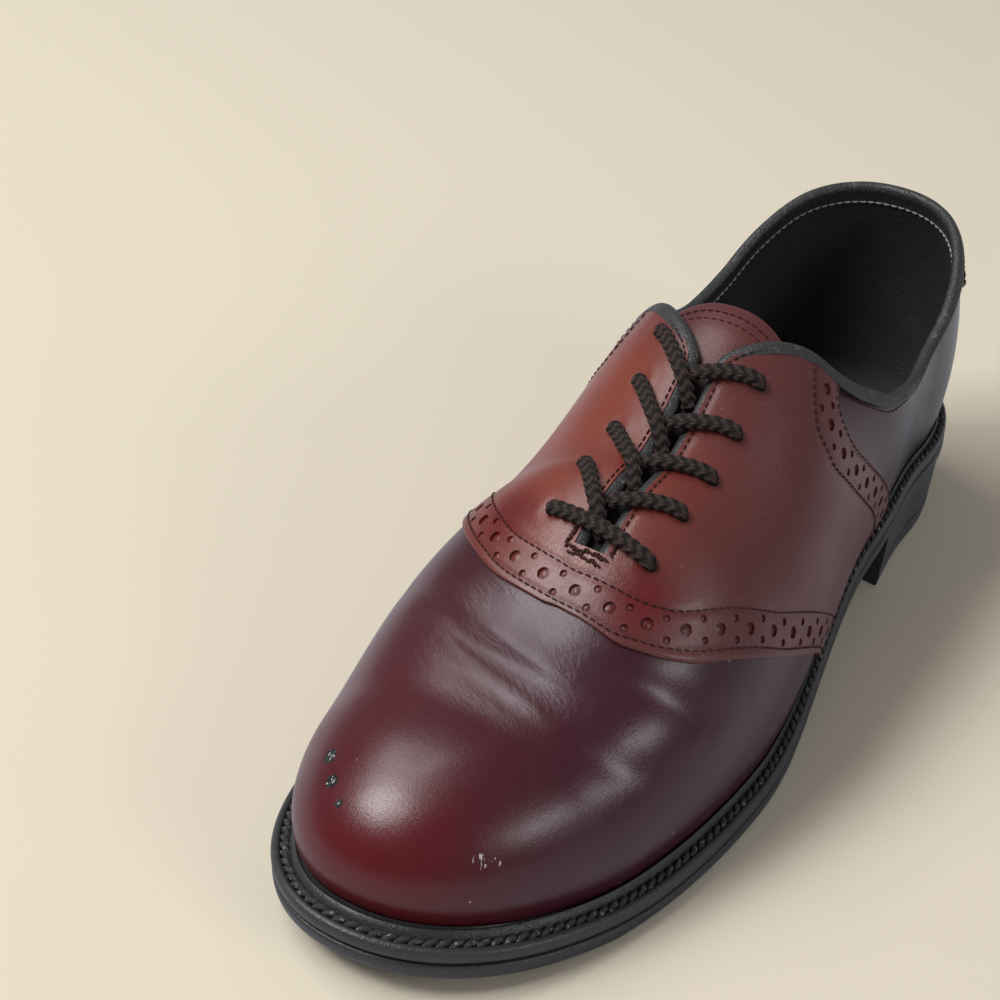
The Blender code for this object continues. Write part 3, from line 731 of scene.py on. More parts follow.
LAST_ROW = 62
BRIDGE_ROWS = 5
TOE_COLUMNS = 96
BAND_COLUMNS = 20
MIDDLE_COLUMNS = 36
QUARTER_COLUMNS = 56
BACK_COLUMNS = 18
FRONT_COLUMN = TOE_COLUMNS
THROAT_COLUMN = FRONT_COLUMN + BAND_COLUMNS + 2
REAR_COLUMN = THROAT_COLUMN + MIDDLE_COLUMNS + BAND_COLUMNS + 2
TAB_COLUMN = REAR_COLUMN + QUARTER_COLUMNS
BACK_COLUMN = TAB_COLUMN + BACK_COLUMNS
EDGE_SHARES = (0.003, 0.008)
BAND_SHARE = 0.17


def panel_columns(throat):
    """Each column's panel and share of the way through it."""
    columns = [("toe", i / TOE_COLUMNS) for i in range(TOE_COLUMNS)]
    shares = [0.0, *EDGE_SHARES]
    shares += list(np.linspace(EDGE_SHARES[-1], throat, BAND_COLUMNS + 1)[1:-1])
    shares += list(np.linspace(throat, 1 - BAND_SHARE, MIDDLE_COLUMNS + 1)[:-1])
    shares += list(np.linspace(1 - BAND_SHARE, 1 - EDGE_SHARES[-1], BAND_COLUMNS + 1))
    shares += [1 - EDGE_SHARES[0]]
    columns += [("saddle", share) for share in shares]
    columns += [("quarter", i / QUARTER_COLUMNS) for i in range(QUARTER_COLUMNS)]
    columns += [("back", i / BACK_COLUMNS) for i in range(BACK_COLUMNS + 1)]
    return columns


def column_grid(side):
    """Stations and turns of every column (first index) and row of the upper's grid on one side."""
    front_top = float(front_station(side, math.pi / 2))
    rear_top = float(station_at(side, SADDLE_REAR[-1][1]))
    rear_turn = float(edge_turn(side, rear_top))
    throat = (float(station_at(side, THROAT_END)) - front_top) / (rear_top - front_top)
    tab = float(station_at(side, TAB_END))

    def stations(panel, share, height):
        front = front_station(side, height * math.pi / 2)
        rear = rear_station(side, height * rear_turn)
        if panel == "toe":
            return share * front
        if panel == "saddle":
            return mix(front, rear, share)
        if panel == "quarter":
            return mix(rear, tab, share)
        return np.full_like(height, mix(tab, 3.0, share))

    grid_stations, grid_turns = [], []
    for panel, share in panel_columns(throat):
        top = float(edge_turn(side, stations(panel, share, np.array(1.0))))
        low = float(bead_turn(side, stations(panel, share, np.array(0.0))))
        turns = np.concatenate(
            [
                [0.0],
                np.linspace(low, top, LAST_ROW),
                np.linspace(top, math.pi / 2, BRIDGE_ROWS + 1)[1:-1],
            ]
        )
        grid_turns.append(turns)
        grid_stations.append(stations(panel, share, np.minimum(turns / top, 1.0)))
    return np.array(grid_stations), np.array(grid_turns)


class Dome:
    """Vertices and normals of the upper's surface on both sides, joined along the top line."""

    def __init__(self):
        self.count = BACK_COLUMN + 1
        self.rows = LAST_ROW + BRIDGE_ROWS
        self.grids = {side: column_grid(side) for side in SIDES}
        points, normals = {}, {}
        for side in SIDES:
            points[side], normals[side] = on_shoe(side, *self.grids[side])
        for end in (0, -1):
            normals[OUTER][end] = normals[INNER][end] = unit(normals[OUTER][end] + normals[INNER][end])
            points[INNER][end] = points[OUTER][end]
        tops = [on_shoe(side, self.grids[side][0][:, LAST_ROW], math.pi / 2) for side in SIDES]
        top_normals = unit(tops[0][1] + tops[1][1])
        middle = (tops[0][0] + tops[1][0]) / 2
        self.points = np.concatenate([points[OUTER].reshape(-1, 3), points[INNER].reshape(-1, 3), middle])
        self.normals = np.concatenate(
            [normals[OUTER].reshape(-1, 3), normals[INNER].reshape(-1, 3), top_normals]
        )

    def vertex(self, side, column, row):
        if row >= self.rows:
            return 2 * self.count * self.rows + column
        block = 0 if side is OUTER or column in (0, BACK_COLUMN) else self.count * self.rows
        return block + column * self.rows + row

    def patch(self, side, columns, rows):
        """Faces between the first and last column and row, facing outwards."""
        faces = []
        for column in range(*columns):
            for row in range(*rows):
                quad = [
                    self.vertex(side, column, row),
                    self.vertex(side, column, row + 1),
                    self.vertex(side, column + 1, row + 1),
                    self.vertex(side, column + 1, row),
                ]
                faces.append(quad if side is OUTER else quad[::-1])
        return faces

    def both(self, columns, rows):
        return self.patch(OUTER, columns, rows) + self.patch(INNER, columns, rows)


# Making pieces


def deselect():
    bpy.ops.object.select_all(action="DESELECT")


def set_piece(thing, finish, replaces=(), sharp=40):
    """Gives a mesh object its finish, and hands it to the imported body."""
    thing.data.materials.clear()
    thing.data.materials.append(FINISHES[finish])
    thing.data.shade_smooth()
    thing.data.set_sharp_from_angle(angle=math.radians(sharp))
    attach(thing, "root")
    if replaces:
        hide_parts(*replaces)


def resized(value):
    """The active object, its mesh scaled and the object itself left unscaled."""
    bpy.ops.object.mode_set(mode="EDIT")
    bpy.ops.mesh.select_all(action="SELECT")
    bpy.ops.transform.resize(value=value)
    bpy.ops.object.mode_set(mode="OBJECT")
    return bpy.context.object


def mesh_object(name, points, faces):
    """A mesh object whose faces point outwards."""
    mesh = bpy.data.meshes.new(name)
    mesh.from_pydata(np.asarray(points).tolist(), [], faces)
    work = bmesh.new()
    work.from_mesh(mesh)
    bmesh.ops.recalc_face_normals(work, faces=work.faces)
    work.to_mesh(mesh)
    work.free()
    thing = bpy.data.objects.new(name, mesh)
    bpy.context.scene.collection.objects.link(thing)
    return thing


def shell(name, points, normals, faces, outside, inside):
    """A wall between two offsets of a surface, closed along every free edge."""
    points, normals = np.reshape(points, (-1, 3)), np.reshape(normals, (-1, 3))
    used = np.array(sorted({vertex for face in faces for vertex in face}))
    number = {int(vertex): i for i, vertex in enumerate(used)}
    outside = np.broadcast_to(np.ravel(outside), len(points))[used][:, None]
    walls = np.concatenate([points[used] + normals[used] * outside, points[used] + normals[used] * inside])
    outer = [[number[vertex] for vertex in face] for face in faces]
    inner = [[vertex + len(used) for vertex in face[::-1]] for face in outer]
    edges = {(face[i - 1], face[i]) for face in outer for i in range(len(face))}
    rim = [[b, a, a + len(used), b + len(used)] for a, b in sorted(edges) if (b, a) not in edges]
    return mesh_object(name, walls, outer + inner + rim)


def grid_faces(rows, columns):
    """Quads of a grid whose points are stored row by row."""
    return [
        [r * columns + c, r * columns + c + 1, (r + 1) * columns + c + 1, (r + 1) * columns + c]
        for r in range(rows - 1)
        for c in range(columns - 1)
    ]


def loft(name, sections, closed=True):
    """A solid through cross-sections that follow one another, round a ring or capped at both ends."""
    sections = np.asarray(sections)
    count, size = sections.shape[:2]
    faces = []
    for i in range(count if closed else count - 1):
        following = (i + 1) % count
        for j in range(size):
            beside = (j + 1) % size
            faces.append([i * size + j, following * size + j, following * size + beside, i * size + beside])
    if not closed:
        faces.append(list(range(size)))
        faces.append([(count - 1) * size + j for j in reversed(range(size))])
    return mesh_object(name, sections.reshape(-1, 3), faces)


def distances(points):
    """How far along a line each of its points lies."""
    return np.concatenate([[0], np.cumsum(np.linalg.norm(np.diff(points, axis=0), axis=1))])


def read_line(points, lengths, where):
    """Points or vectors of a line, read at distances along it."""
    return np.stack([np.interp(where, lengths, points[:, k]) for k in range(3)], -1)


def resample(points, pitch, closed=False):
    """Places along a line at about a pitch, and the directions there."""
    if closed:
        points = np.concatenate([points, points[:1]])
    lengths = distances(points)
    count = max(1, round(lengths[-1] / pitch))
    where = (np.arange(count) + 0.5) * lengths[-1] / count
    step = pitch / 4
    along = read_line(points, lengths, where + step) - read_line(points, lengths, where - step)
    return read_line(points, lengths, where), unit(along)


def square_to(vectors, along):
    """Unit vectors square to a direction, as close as they come to those given."""
    return unit(vectors - along * (vectors * along).sum(1, keepdims=True))


def tree_of(points):
    tree = kdtree.KDTree(len(points))
    for i, point in enumerate(points):
        tree.insert(point, i)
    tree.balance()
    return tree


Line = namedtuple("Line", "points normals")


def line_of(placed):
    """A line from pairs of a point and a normal."""
    return Line(*(np.array(values) for values in zip(*placed)))


def surface_line(side, stations, turns, lift):
    """A line on the worn leather, raised by a lift."""
    return Line(*on_shoe(side, stations, turns, lift))


def band_places(side, band, across, count=90):
    """Stations and turns along a brogued band, a share of the way across it from its outer edge."""
    column = side_column(side) if band == "front" else 1
    turns = [np.linspace(0.0, 1.0, count) * table[-1][0] for table in BANDS[band]]
    places = [smooth(table, column, turn) for table, turn in zip(BANDS[band], turns)]
    return station_at(side, mix(*places, across)), np.radians(mix(*turns, across))


def band_line(side, band, across, lift=GAP + OVERLAY):
    """The part of such a line that lies above the welt's bead."""
    stations, turns = band_places(side, band, across)
    low = bead_turn(side, stations)
    keep = turns > low * 1.05
    return surface_line(side, stations[keep], turns[keep], lift)


def edge_line(side, start, end, below, lift, count=160):
    """A line a distance below the top edge, between two places along the shoe."""
    stations = np.linspace(float(station_at(side, start)), float(station_at(side, end)), count)
    tops = edge_turn(side, stations)
    step = 0.02
    top = skin(side, stations, tops)
    under = skin(side, stations, tops - step)
    rate = np.linalg.norm(top - under, axis=-1) / step
    return surface_line(side, stations, tops - below / rate, lift)


# Copies of one small shape


def frames_on(line, pitch, closed=False):
    """Spots with their along, across and outward directions."""
    spots, along = resample(line.points, pitch, closed)
    tree = tree_of(line.points)
    outward = square_to(np.array([line.normals[tree.find(spot)[1]] for spot in spots]), along)
    return spots, along, np.cross(outward, along), outward


def copies(template, frames, scale=1.0):
    """Points and faces of a template set at every spot."""
    spots, along, across, outward = frames
    shape, faces = template
    points, all_faces = [], []
    for i in range(len(spots)):
        basis = np.stack([along[i], across[i], outward[i]])
        points.append(spots[i] + (shape * scale) @ basis)
        all_faces += [[v + i * len(shape) for v in face] for face in faces]
    return (np.concatenate(points), all_faces) if points else (np.zeros((0, 3)), [])


def joined(parts):
    """Points and faces of many parts as one."""
    points, faces, start = [], [], 0
    for part_points, part_faces in parts:
        points.append(part_points)
        faces += [[v + start for v in face] for face in part_faces]
        start += len(part_points)
    return np.concatenate(points), faces


def taken(thing):
    """Points and faces of an object, which is then removed."""
    points = np.array([v.co for v in thing.data.vertices])
    faces = [list(p.vertices) for p in thing.data.polygons]
    bpy.data.objects.remove(thing, do_unlink=True)
    return points, faces


def thread_shape(length, width, rise, segments=6, rings=6):
    """One stitch lying along X: a rounded thread whose ends sink into the leather."""
    deselect()
    bpy.ops.mesh.primitive_uv_sphere_add(segments=segments, ring_count=rings, radius=0.5)
    points, faces = taken(resized((width, width, length)))
    along, across, up = points[:, 2], points[:, 1], points[:, 0]
    bow = rise * (1 - (2 * along / length) ** 2)
    return np.stack([along, across, up + bow], -1), faces


def punch_shape(radius, depth, sides=16):
    """A punch whose wall flares at the leather's face and whose end leaves a domed floor."""
    deselect()
    bpy.ops.mesh.primitive_cylinder_add(vertices=sides, radius=radius, depth=2 * depth, end_fill_type="NGON")
    thing = bpy.context.object
    bpy.ops.object.mode_set(mode="EDIT")
    bpy.ops.mesh.select_all(action="DESELECT")
    work = bmesh.from_edit_mesh(thing.data)
    work.faces.ensure_lookup_table()
    for face in work.faces:
        face.select = face.normal.z < -0.9
    bmesh.update_edit_mesh(thing.data)
    bpy.ops.mesh.inset(thickness=radius * 0.3, depth=0.0)
    bpy.ops.mesh.inset(thickness=radius * 0.3, depth=-depth * 0.3)
    bpy.ops.mesh.select_all(action="DESELECT")
    for face in work.faces:
        face.select = face.normal.z > 0.9
    bmesh.update_edit_mesh(thing.data)
    bpy.ops.mesh.extrude_region_move(TRANSFORM_OT_translate={"value": (0, 0, depth)})
    bpy.ops.object.mode_set(mode="OBJECT")
    points, faces = taken(thing)
    high = points[:, 2] > 0.5 * depth
    points[high, 2] -= depth
    points[points[:, 2] > 0.5 * depth, :2] *= 1.45
    return points, faces


def cut(thing, parts):
    """Cuts closed shapes out of a piece."""
    cutter = mesh_object("punches", *joined(parts))
    modifier = thing.modifiers.new("punched", "BOOLEAN")
    modifier.operation = "DIFFERENCE"
    modifier.solver = "EXACT"
    modifier.object = cutter
    deselect()
    thing.select_set(True)
    bpy.context.view_layer.objects.active = thing
    bpy.ops.object.modifier_apply(modifier=modifier.name)
    bpy.data.objects.remove(cutter, do_unlink=True)


# Finishes


class Wires:
    """Adds and links the nodes of a material or a group."""

    def __init__(self, tree):
        self.tree = tree

    def node(self, kind, **settings):
        made = self.tree.nodes.new(kind)
        for key, value in settings.items():
            setattr(made, key, value)
        return made

    def set(self, socket, value):
        if isinstance(value, bpy.types.NodeSocket):
            self.tree.links.new(value, socket)
        else:
            socket.default_value = value

    def math(self, operation, a, b=0.0, clamp=False):
        made = self.node("ShaderNodeMath", operation=operation, use_clamp=clamp)
        self.set(made.inputs[0], a)
        self.set(made.inputs[1], b)
        return made.outputs[0]

    def times(self, a, b, clamp=False):
        return self.math("MULTIPLY", a, b, clamp)

    def plus(self, a, b, clamp=False):
        return self.math("ADD", a, b, clamp)

    def noise(self, vector, scale, detail=3.0, roughness=0.55, distortion=0.0):
        made = self.node("ShaderNodeTexNoise")
        for name, value in (
            ("Vector", vector),
            ("Scale", scale),
            ("Detail", detail),
            ("Roughness", roughness),
            ("Distortion", distortion),
        ):
            self.set(made.inputs[name], value)
        return made.outputs["Fac"]

    def cells(self, vector, scale):
        made = self.node("ShaderNodeTexVoronoi")
        self.set(made.inputs["Vector"], vector)
        self.set(made.inputs["Scale"], scale)
        return made.outputs["Distance"]

    def remap(self, value, low, high, to_low=0.0, to_high=1.0):
        made = self.node("ShaderNodeMapRange", interpolation_type="SMOOTHSTEP")
        for i, number in enumerate((value, low, high, to_low, to_high)):
            self.set(made.inputs[i], number)
        return made.outputs["Result"]

    def blend(self, share, a, b):
        made = self.node("ShaderNodeMix", data_type="RGBA")
        self.set(made.inputs[0], share)
        for socket, colour in ((made.inputs[6], a), (made.inputs[7], b)):
            self.set(socket, colour if isinstance(colour, bpy.types.NodeSocket) else rgb(colour))
        return made.outputs[2]

    def near(self, vector, centre, radius, stretch=(1, 1, 1)):
        """1 at a spot on the shoe, fading to 0 at a radius round it."""
        moved = self.node("ShaderNodeMapping")
        self.set(moved.inputs["Vector"], vector)
        moved.inputs["Scale"].default_value = stretch
        moved.inputs["Location"].default_value = [-c * s for c, s in zip(centre, stretch)]
        length = self.node("ShaderNodeVectorMath", operation="LENGTH")
        self.set(length.inputs[0], moved.outputs[0])
        return self.remap(length.outputs["Value"], radius, radius * 0.15)

    def stretched(self, vector, turn, scale):
        """The coordinates turned, then scaled along each axis."""
        turned = self.node("ShaderNodeVectorRotate", rotation_type="EULER_XYZ")
        self.set(turned.inputs["Vector"], vector)
        turned.inputs["Rotation"].default_value = turn
        scaled = self.node("ShaderNodeVectorMath", operation="MULTIPLY")
        self.set(scaled.inputs[0], turned.outputs[0])
        scaled.inputs[1].default_value = scale
        return scaled.outputs[0]

    def place(self):
        return self.node("ShaderNodeTexCoord").outputs["Object"]


def group(name, inputs, outputs):
    """An empty node group with named sockets, and the wires, input and output nodes inside it."""
    tree = bpy.data.node_groups.new(name, "ShaderNodeTree")
    for label, kind, default in inputs:
        socket = tree.interface.new_socket(name=label, in_out="INPUT", socket_type=kind)
        if default is not None:
            socket.default_value = default
    for label, kind in outputs:
        tree.interface.new_socket(name=label, in_out="OUTPUT", socket_type=kind)
    wires = Wires(tree)
    return tree, wires, wires.node("NodeGroupInput").outputs, wires.node("NodeGroupOutput").inputs


def make_grain_group():
    """Pores, hair lines and soft unevenness of smooth leather."""
    tree, w, given, out = group(
        "leather_grain",
        [("Vector", "NodeSocketVector", None), ("Fineness", "NodeSocketFloat", 1.0)],
        [(name, "NodeSocketFloat") for name in ("Height", "Cloud", "Speck", "Dust")],
    )
    vector = given["Vector"]
    pores = w.remap(w.cells(vector, w.times(given["Fineness"], 1500.0)), 0.0, 0.45)
    fibres = w.noise(vector, w.times(given["Fineness"], 700.0), 4.0, 0.6)
    swell = w.noise(vector, 90.0, 3.0, 0.5)
    height = w.plus(w.times(pores, 0.35), w.times(fibres, 0.5))
    w.set(out["Height"], w.plus(height, w.times(swell, 0.9)))
    w.set(out["Cloud"], w.noise(vector, 38.0, 4.0, 0.6, 0.4))
    w.set(out["Speck"], w.remap(w.noise(vector, 620.0, 2.0, 0.5), 0.70, 0.78))
    w.set(out["Dust"], w.remap(w.cells(vector, 110.0), 0.045, 0.025))
    return tree


def make_wear_group():
    """A worn colour over a base, in patches that follow a mask."""
    tree, w, given, out = group(
        "rubbed_wear",
        [
            ("Vector", "NodeSocketVector", None),
            ("Base", "NodeSocketColor", None),
            ("Worn", "NodeSocketColor", None),
            ("Amount", "NodeSocketFloat", 0.5),
            ("Scale", "NodeSocketFloat", 300.0),
        ],
        [("Color", "NodeSocketColor"), ("Mask", "NodeSocketFloat")],
    )
    patches = w.noise(given["Vector"], given["Scale"], 5.0, 0.65)
    start = w.math("SUBTRACT", 0.78, w.times(given["Amount"], 0.4))
    mask = w.remap(patches, start, w.plus(start, 0.16))
    w.set(out["Color"], w.blend(mask, given["Base"], given["Worn"]))
    w.set(out["Mask"], mask)
    return tree


def use_group(wires, tree, **given):
    made = wires.node("ShaderNodeGroup", node_tree=tree)
    for label, value in given.items():
        wires.set(made.inputs[label], value)
    return made.outputs


def new_material(name, roughness, **constants):
    """A material with its Principled BSDF, whose constant values sit on its own sockets."""
    material = bpy.data.materials.new(name)
    material.use_nodes = True
    shader = material.node_tree.nodes["Principled BSDF"]
    shader.inputs["Roughness"].default_value = roughness
    for label, value in constants.items():
        shader.inputs[label.replace("_", " ")].default_value = value
    return material, Wires(material.node_tree), shader


def add_bump(w, shader, height, strength, distance):
    bump = w.node("ShaderNodeBump")
    bump.inputs["Strength"].default_value = strength
    bump.inputs["Distance"].default_value = distance
    w.set(bump.inputs["Height"], height)
    w.set(shader.inputs["Normal"], bump.outputs["Normal"])


def rgb(colour):
    return (*colour, 1.0)


# Colours of single marks, and of the frayed threads
SCAR = (0.010, 0.011, 0.011)
SCAR_FIBRE = (0.55, 0.53, 0.53)
SCRATCH = (0.50, 0.47, 0.47)
DUST = (0.45, 0.38, 0.38)
GREY_THREAD = (0.05, 0.05, 0.05)
FRAYED_TACK = (0.34, 0.18, 0.115)
WELT_THREAD = (0.040, 0.041, 0.042)
WELT_THREAD_TIPS = (0.30, 0.29, 0.27)

# Worn spots of the toe: centre, radius and strength
TOE_CHIPS = (
    ((-0.0256, -0.1265, 0.0437), 0.0040, 1.0),
    ((-0.0199, -0.1331, 0.0431), 0.0036, 1.0),
    ((-0.0142, -0.1377, 0.0420), 0.0044, 0.53),
)
TOE_SCRATCHES = (
    ((0.0234, -0.1300, 0.0368), 0.0030),
    ((0.0266, -0.1274, 0.0362), 0.0020),
)
# Deep red patches of the saddle: metres ahead of the first eyelet, across the throat, and radius
SADDLE_STAINS = ((0.0120, 0.0170, 0.0150), (0.0040, -0.0260, 0.0140))

# Patches of the vamp, the quarters and the saddle: centre, radius and, where it isn't round, its stretch
TOE_RED = ((-0.012, -0.138, 0.030), 0.075, (1.0, 1.0, 0.8))
TOE_CORE = ((0.000, -0.140, 0.026), 0.040)
INNER_RED = ((-0.045, -0.085, 0.045), 0.060)
QUARTER_DARK = ((0.0, 0.120, 0.060), 0.130)
WALKED = ((-0.0060, -0.0830, 0.0610), 0.034, (0.8, 1.3, 1.0))
THROAT_WARM = ((-0.012, -0.035, 0.085), 0.056)
INNER_WARM = ((-0.026, -0.006, 0.088), 0.052)
TORN_RADIUS = 0.0078


def plum_leather():
    """Polished oxblood: deep red at the toe, plum on the vamp, near black on the quarters."""
    tone = colours()
    material, w, shader = new_material(
        "plum_leather", 0.36, Coat_Weight=0.12, Coat_Roughness=0.20, IOR=1.45
    )
    place = w.place()
    grain = use_group(w, GROUPS["grain"], Vector=place, Fineness=1.5)
    toe = w.near(place, *TOE_RED)
    core = w.near(place, *TOE_CORE)
    medial = w.near(place, *INNER_RED)
    red = w.plus(w.times(toe, 0.55), w.times(core, 0.6))
    red = w.plus(red, w.times(medial, 0.35))
    red = w.times(red, w.plus(0.65, w.times(grain["Cloud"], 0.7)), clamp=True)
    back = w.near(place, *QUARTER_DARK)
    colour = w.blend(red, tone.plum, tone.oxblood)
    colour = w.blend(back, colour, tone.night)
    colour = w.blend(w.times(grain["Cloud"], 0.35), colour, tone.night)
    dents = w.times(grain["Cloud"], 0.5)
    for centre, radius, strength in TOE_CHIPS:
        chip = w.times(w.near(place, centre, radius), strength)
        ragged = w.remap(w.plus(chip, w.times(w.noise(place, 700.0, 3.0), 0.7)), 0.80, 0.92)
        colour = w.blend(ragged, colour, SCAR)
        torn = w.noise(w.stretched(place, (0, 0, 0.5), (1, 0.35, 1)), 1500.0, 2.0)
        fibre = w.times(w.remap(torn, 0.56, 0.62), chip)
        colour = w.blend(w.remap(fibre, 0.50, 0.78), colour, SCAR_FIBRE)
        dents = w.math("SUBTRACT", dents, w.times(ragged, 2.5))
    for centre, radius in TOE_SCRATCHES:
        streak = w.noise(w.stretched(place, (0, 0, -0.5), (1.6, 0.4, 0.4)), 900.0, 1.0)
        scratch = w.times(w.near(place, centre, radius), w.remap(streak, 0.54, 0.64))
        colour = w.blend(w.remap(scratch, 0.20, 0.60), colour, SCRATCH)
    colour = w.blend(w.times(grain["Dust"], 0.7), colour, DUST)
    w.set(shader.inputs["Base Color"], colour)
    walked = w.near(place, *WALKED)
    polish = w.remap(grain["Cloud"], 0.3, 0.7, 0.27, 0.36)
    w.set(shader.inputs["Roughness"], w.plus(polish, w.times(walked, 0.20)))
    wrinkles = w.noise(w.stretched(place, (0, 0, 0.56), (0.24, 1.0, 1.0)), 460.0, 3.0, 0.6, 0.8)
    height = w.plus(grain["Height"], w.times(w.times(wrinkles, walked), 6.0))
    add_bump(w, shader, w.plus(height, dents), 0.11, 0.0012)
    return material


def mahogany_leather():
    """Reddish brown leather, redder towards the throat and the inner side."""
    tone = colours()
    material, w, shader = new_material(
        "mahogany_leather", 0.38, Coat_Weight=0.10, Coat_Roughness=0.24, IOR=1.45
    )
    place = w.place()
    grain = use_group(w, GROUPS["grain"], Vector=place, Fineness=1.3)
    throat = w.near(place, *THROAT_WARM)
    inner = w.near(place, *INNER_WARM)
    red = w.math("MAXIMUM", w.times(throat, 0.85), inner)
    red = w.times(red, w.plus(0.6, w.times(grain["Cloud"], 0.8)), clamp=True)
    colour = w.blend(red, tone.mahogany, tone.chestnut)
    colour = w.blend(w.times(grain["Cloud"], 0.45), colour, tone.plum)
    for ahead, aside, radius in SADDLE_STAINS:
        spot = throat_point((FIRST_EYELET + ahead) / LENGTH, aside, 0.0)[0]
        stain = w.times(w.near(place, spot, radius), 0.85)
        colour = w.blend(w.times(stain, w.plus(0.5, grain["Cloud"])), colour, tone.oxblood)
    colour = w.blend(w.times(grain["Speck"], 0.5), colour, tone.raw_edge)
    torn = w.near(place, throat_point(THROAT_END + 0.0005 / LENGTH, 0.0, 0.0)[0], TORN_RADIUS)
    torn = w.times(torn, w.remap(w.noise(place, 900.0, 4.0, 0.7), 0.42, 0.60))
    colour = w.blend(w.remap(torn, 0.15, 0.45), colour, tone.raw_edge)
    w.set(shader.inputs["Base Color"], colour)
    w.set(shader.inputs["Roughness"], w.remap(grain["Cloud"], 0.3, 0.7, 0.30, 0.42))
    add_bump(w, shader, w.plus(grain["Height"], w.times(torn, 4.0)), 0.16, 0.0012)
    return material


def tongue_leather():
    """Mahogany where the tongue shows above the lacing, with a painted shade in the near black lining colour
    where it lies low in the throat.
    """
    tone = colours()
    material, w, shader = new_material("tongue_leather", 0.38, IOR=1.42)
    place = w.place()
    grain = use_group(w, GROUPS["grain"], Vector=place, Fineness=0.9)
    split = w.node("ShaderNodeSeparateXYZ")
    w.set(split.inputs[0], place)
    # Painted shade: below the throat's opening the tongue's colour turns to the near black lining colour, and
    # its roughness rises
    throat_shade = w.remap(split.outputs["Y"], 0.012, -0.004)
    colour = w.blend(w.times(grain["Cloud"], 0.6), tone.mahogany, tone.plum)
    w.set(shader.inputs["Base Color"], w.blend(throat_shade, colour, tone.lining))
    worn = w.remap(grain["Cloud"], 0.3, 0.7, 0.32, 0.44)
    w.set(shader.inputs["Roughness"], w.plus(worn, w.times(throat_shade, 0.5), clamp=True))
    add_bump(w, shader, grain["Height"], 0.14, 0.0012)
    return material


def worn_black(name, base, worn, amount, scale, roughness, bump):
    """Black leather or rubber that is rubbed grey in patches."""
    material, w, shader = new_material(name, roughness, Specular_IOR_Level=0.45)
    place = w.place()
    wear = use_group(
        w, GROUPS["wear"], Vector=place, Base=rgb(base), Worn=rgb(worn), Amount=amount, Scale=scale
    )
    grain = use_group(w, GROUPS["grain"], Vector=place, Fineness=0.7)
    dusty = w.times(grain["Cloud"], 0.3)
    halfway = [0.5 * (a + b) for a, b in zip(base, worn)]
    w.set(shader.inputs["Base Color"], w.blend(dusty, wear["Color"], halfway))
    w.set(shader.inputs["Roughness"], w.plus(roughness, w.times(wear["Mask"], 0.2)))
    add_bump(w, shader, w.plus(grain["Height"], w.times(wear["Mask"], -0.6)), bump, 0.0015)
    return material


def thread_finish(name, base, worn, amount):
    """Twisted thread or braid, matt and slightly fuzzy."""
    material, w, shader = new_material(name, 0.8, Specular_IOR_Level=0.3)
    place = w.place()
    wear = use_group(
        w, GROUPS["wear"], Vector=place, Base=rgb(base), Worn=rgb(worn), Amount=amount, Scale=900.0
    )
    w.set(shader.inputs["Base Color"], wear["Color"])
    add_bump(w, shader, w.noise(place, 3200.0, 3.0, 0.6), 0.5, 0.0006)
    return material


def braid_finish():
    """Braided cord: the strands carry a painted highlight and the gaps between them a painted shade, nearly
    black.
    """
    material, w, shader = new_material("braided_lace", 0.8, Specular_IOR_Level=0.3)
    strand = w.node("ShaderNodeAttribute", attribute_name="strand").outputs["Fac"]
    fuzz = w.noise(w.place(), 1800.0, 3.0, 0.6)
    # Painted highlight and shade: the lace colour is lit up on the strands' crests and darkened nearly to
    # black in the gaps, following the strand relief
    light = w.remap(w.plus(strand, w.times(fuzz, 0.3)), 0.35, 1.10)
    dark, lit = ([factor * c for c in colours().lace] for factor in (0.25, 2.2))
    w.set(shader.inputs["Base Color"], w.blend(light, dark, lit))
    add_bump(w, shader, w.plus(strand, w.times(fuzz, 0.5)), 0.5, 0.0005)
    return material


GROUPS = {}
FINISHES = {}


def make_finishes():
    GROUPS["grain"] = make_grain_group()
    GROUPS["wear"] = make_wear_group()
    tone = colours()
    FINISHES.update(
        plum=plum_leather(),
        mahogany=mahogany_leather(),
        binding=worn_black("rolled_binding", tone.binding, tone.rubbed, 0.45, 260.0, 0.45, 0.5),
        lining=worn_black("lining_leather", tone.lining, tone.rubbed, 0.10, 200.0, 0.6, 0.35),
        rubber=worn_black("black_rubber", tone.rubber, tone.rubbed, 0.16, 330.0, 0.42, 0.25),
        thread=thread_finish("sewing_thread", tone.thread, tone.mahogany, 0.3),
        pale=thread_finish("pale_thread", tone.pale_thread, GREY_THREAD, 0.5),
        tack=thread_finish("tack_thread", tone.tack, FRAYED_TACK, 0.5),
        rope=thread_finish("welt_thread", WELT_THREAD, WELT_THREAD_TIPS, 0.60),
        lace=braid_finish(),
        tongue=tongue_leather(),
    )


# Pieces


def make_upper(dome):
    """The upper's leather and its lining, each about half of the wall."""
    whole = (0, BACK_COLUMN)
    faces = dome.both(whole, (0, LAST_ROW)) + dome.both((0, THROAT_COLUMN), (LAST_ROW, dome.rows))
    leather = shell("upper_leather", dome.points, dome.normals, faces, 0.0, -0.5 * WALL)
    set_piece(leather, "plum", ["upper"])
    inside = shell("upper_lining", dome.points, dome.normals, faces, -0.52 * WALL, -WALL)
    set_piece(inside, "lining")


# Stitch rows of the saddle: band and share of the way across it
BAND_ROWS = (("front", 0.13), ("front", 1.0), ("rear", 0.10), ("rear", 1.0))
FACING_ROW_START, FACING_ROW_END = 0.425, THROAT_END - 0.006
FACING_ROW_DROP = 0.0011
PUNCH_ROW = 0.55
SMALL_HOLES_ASIDE = 0.80


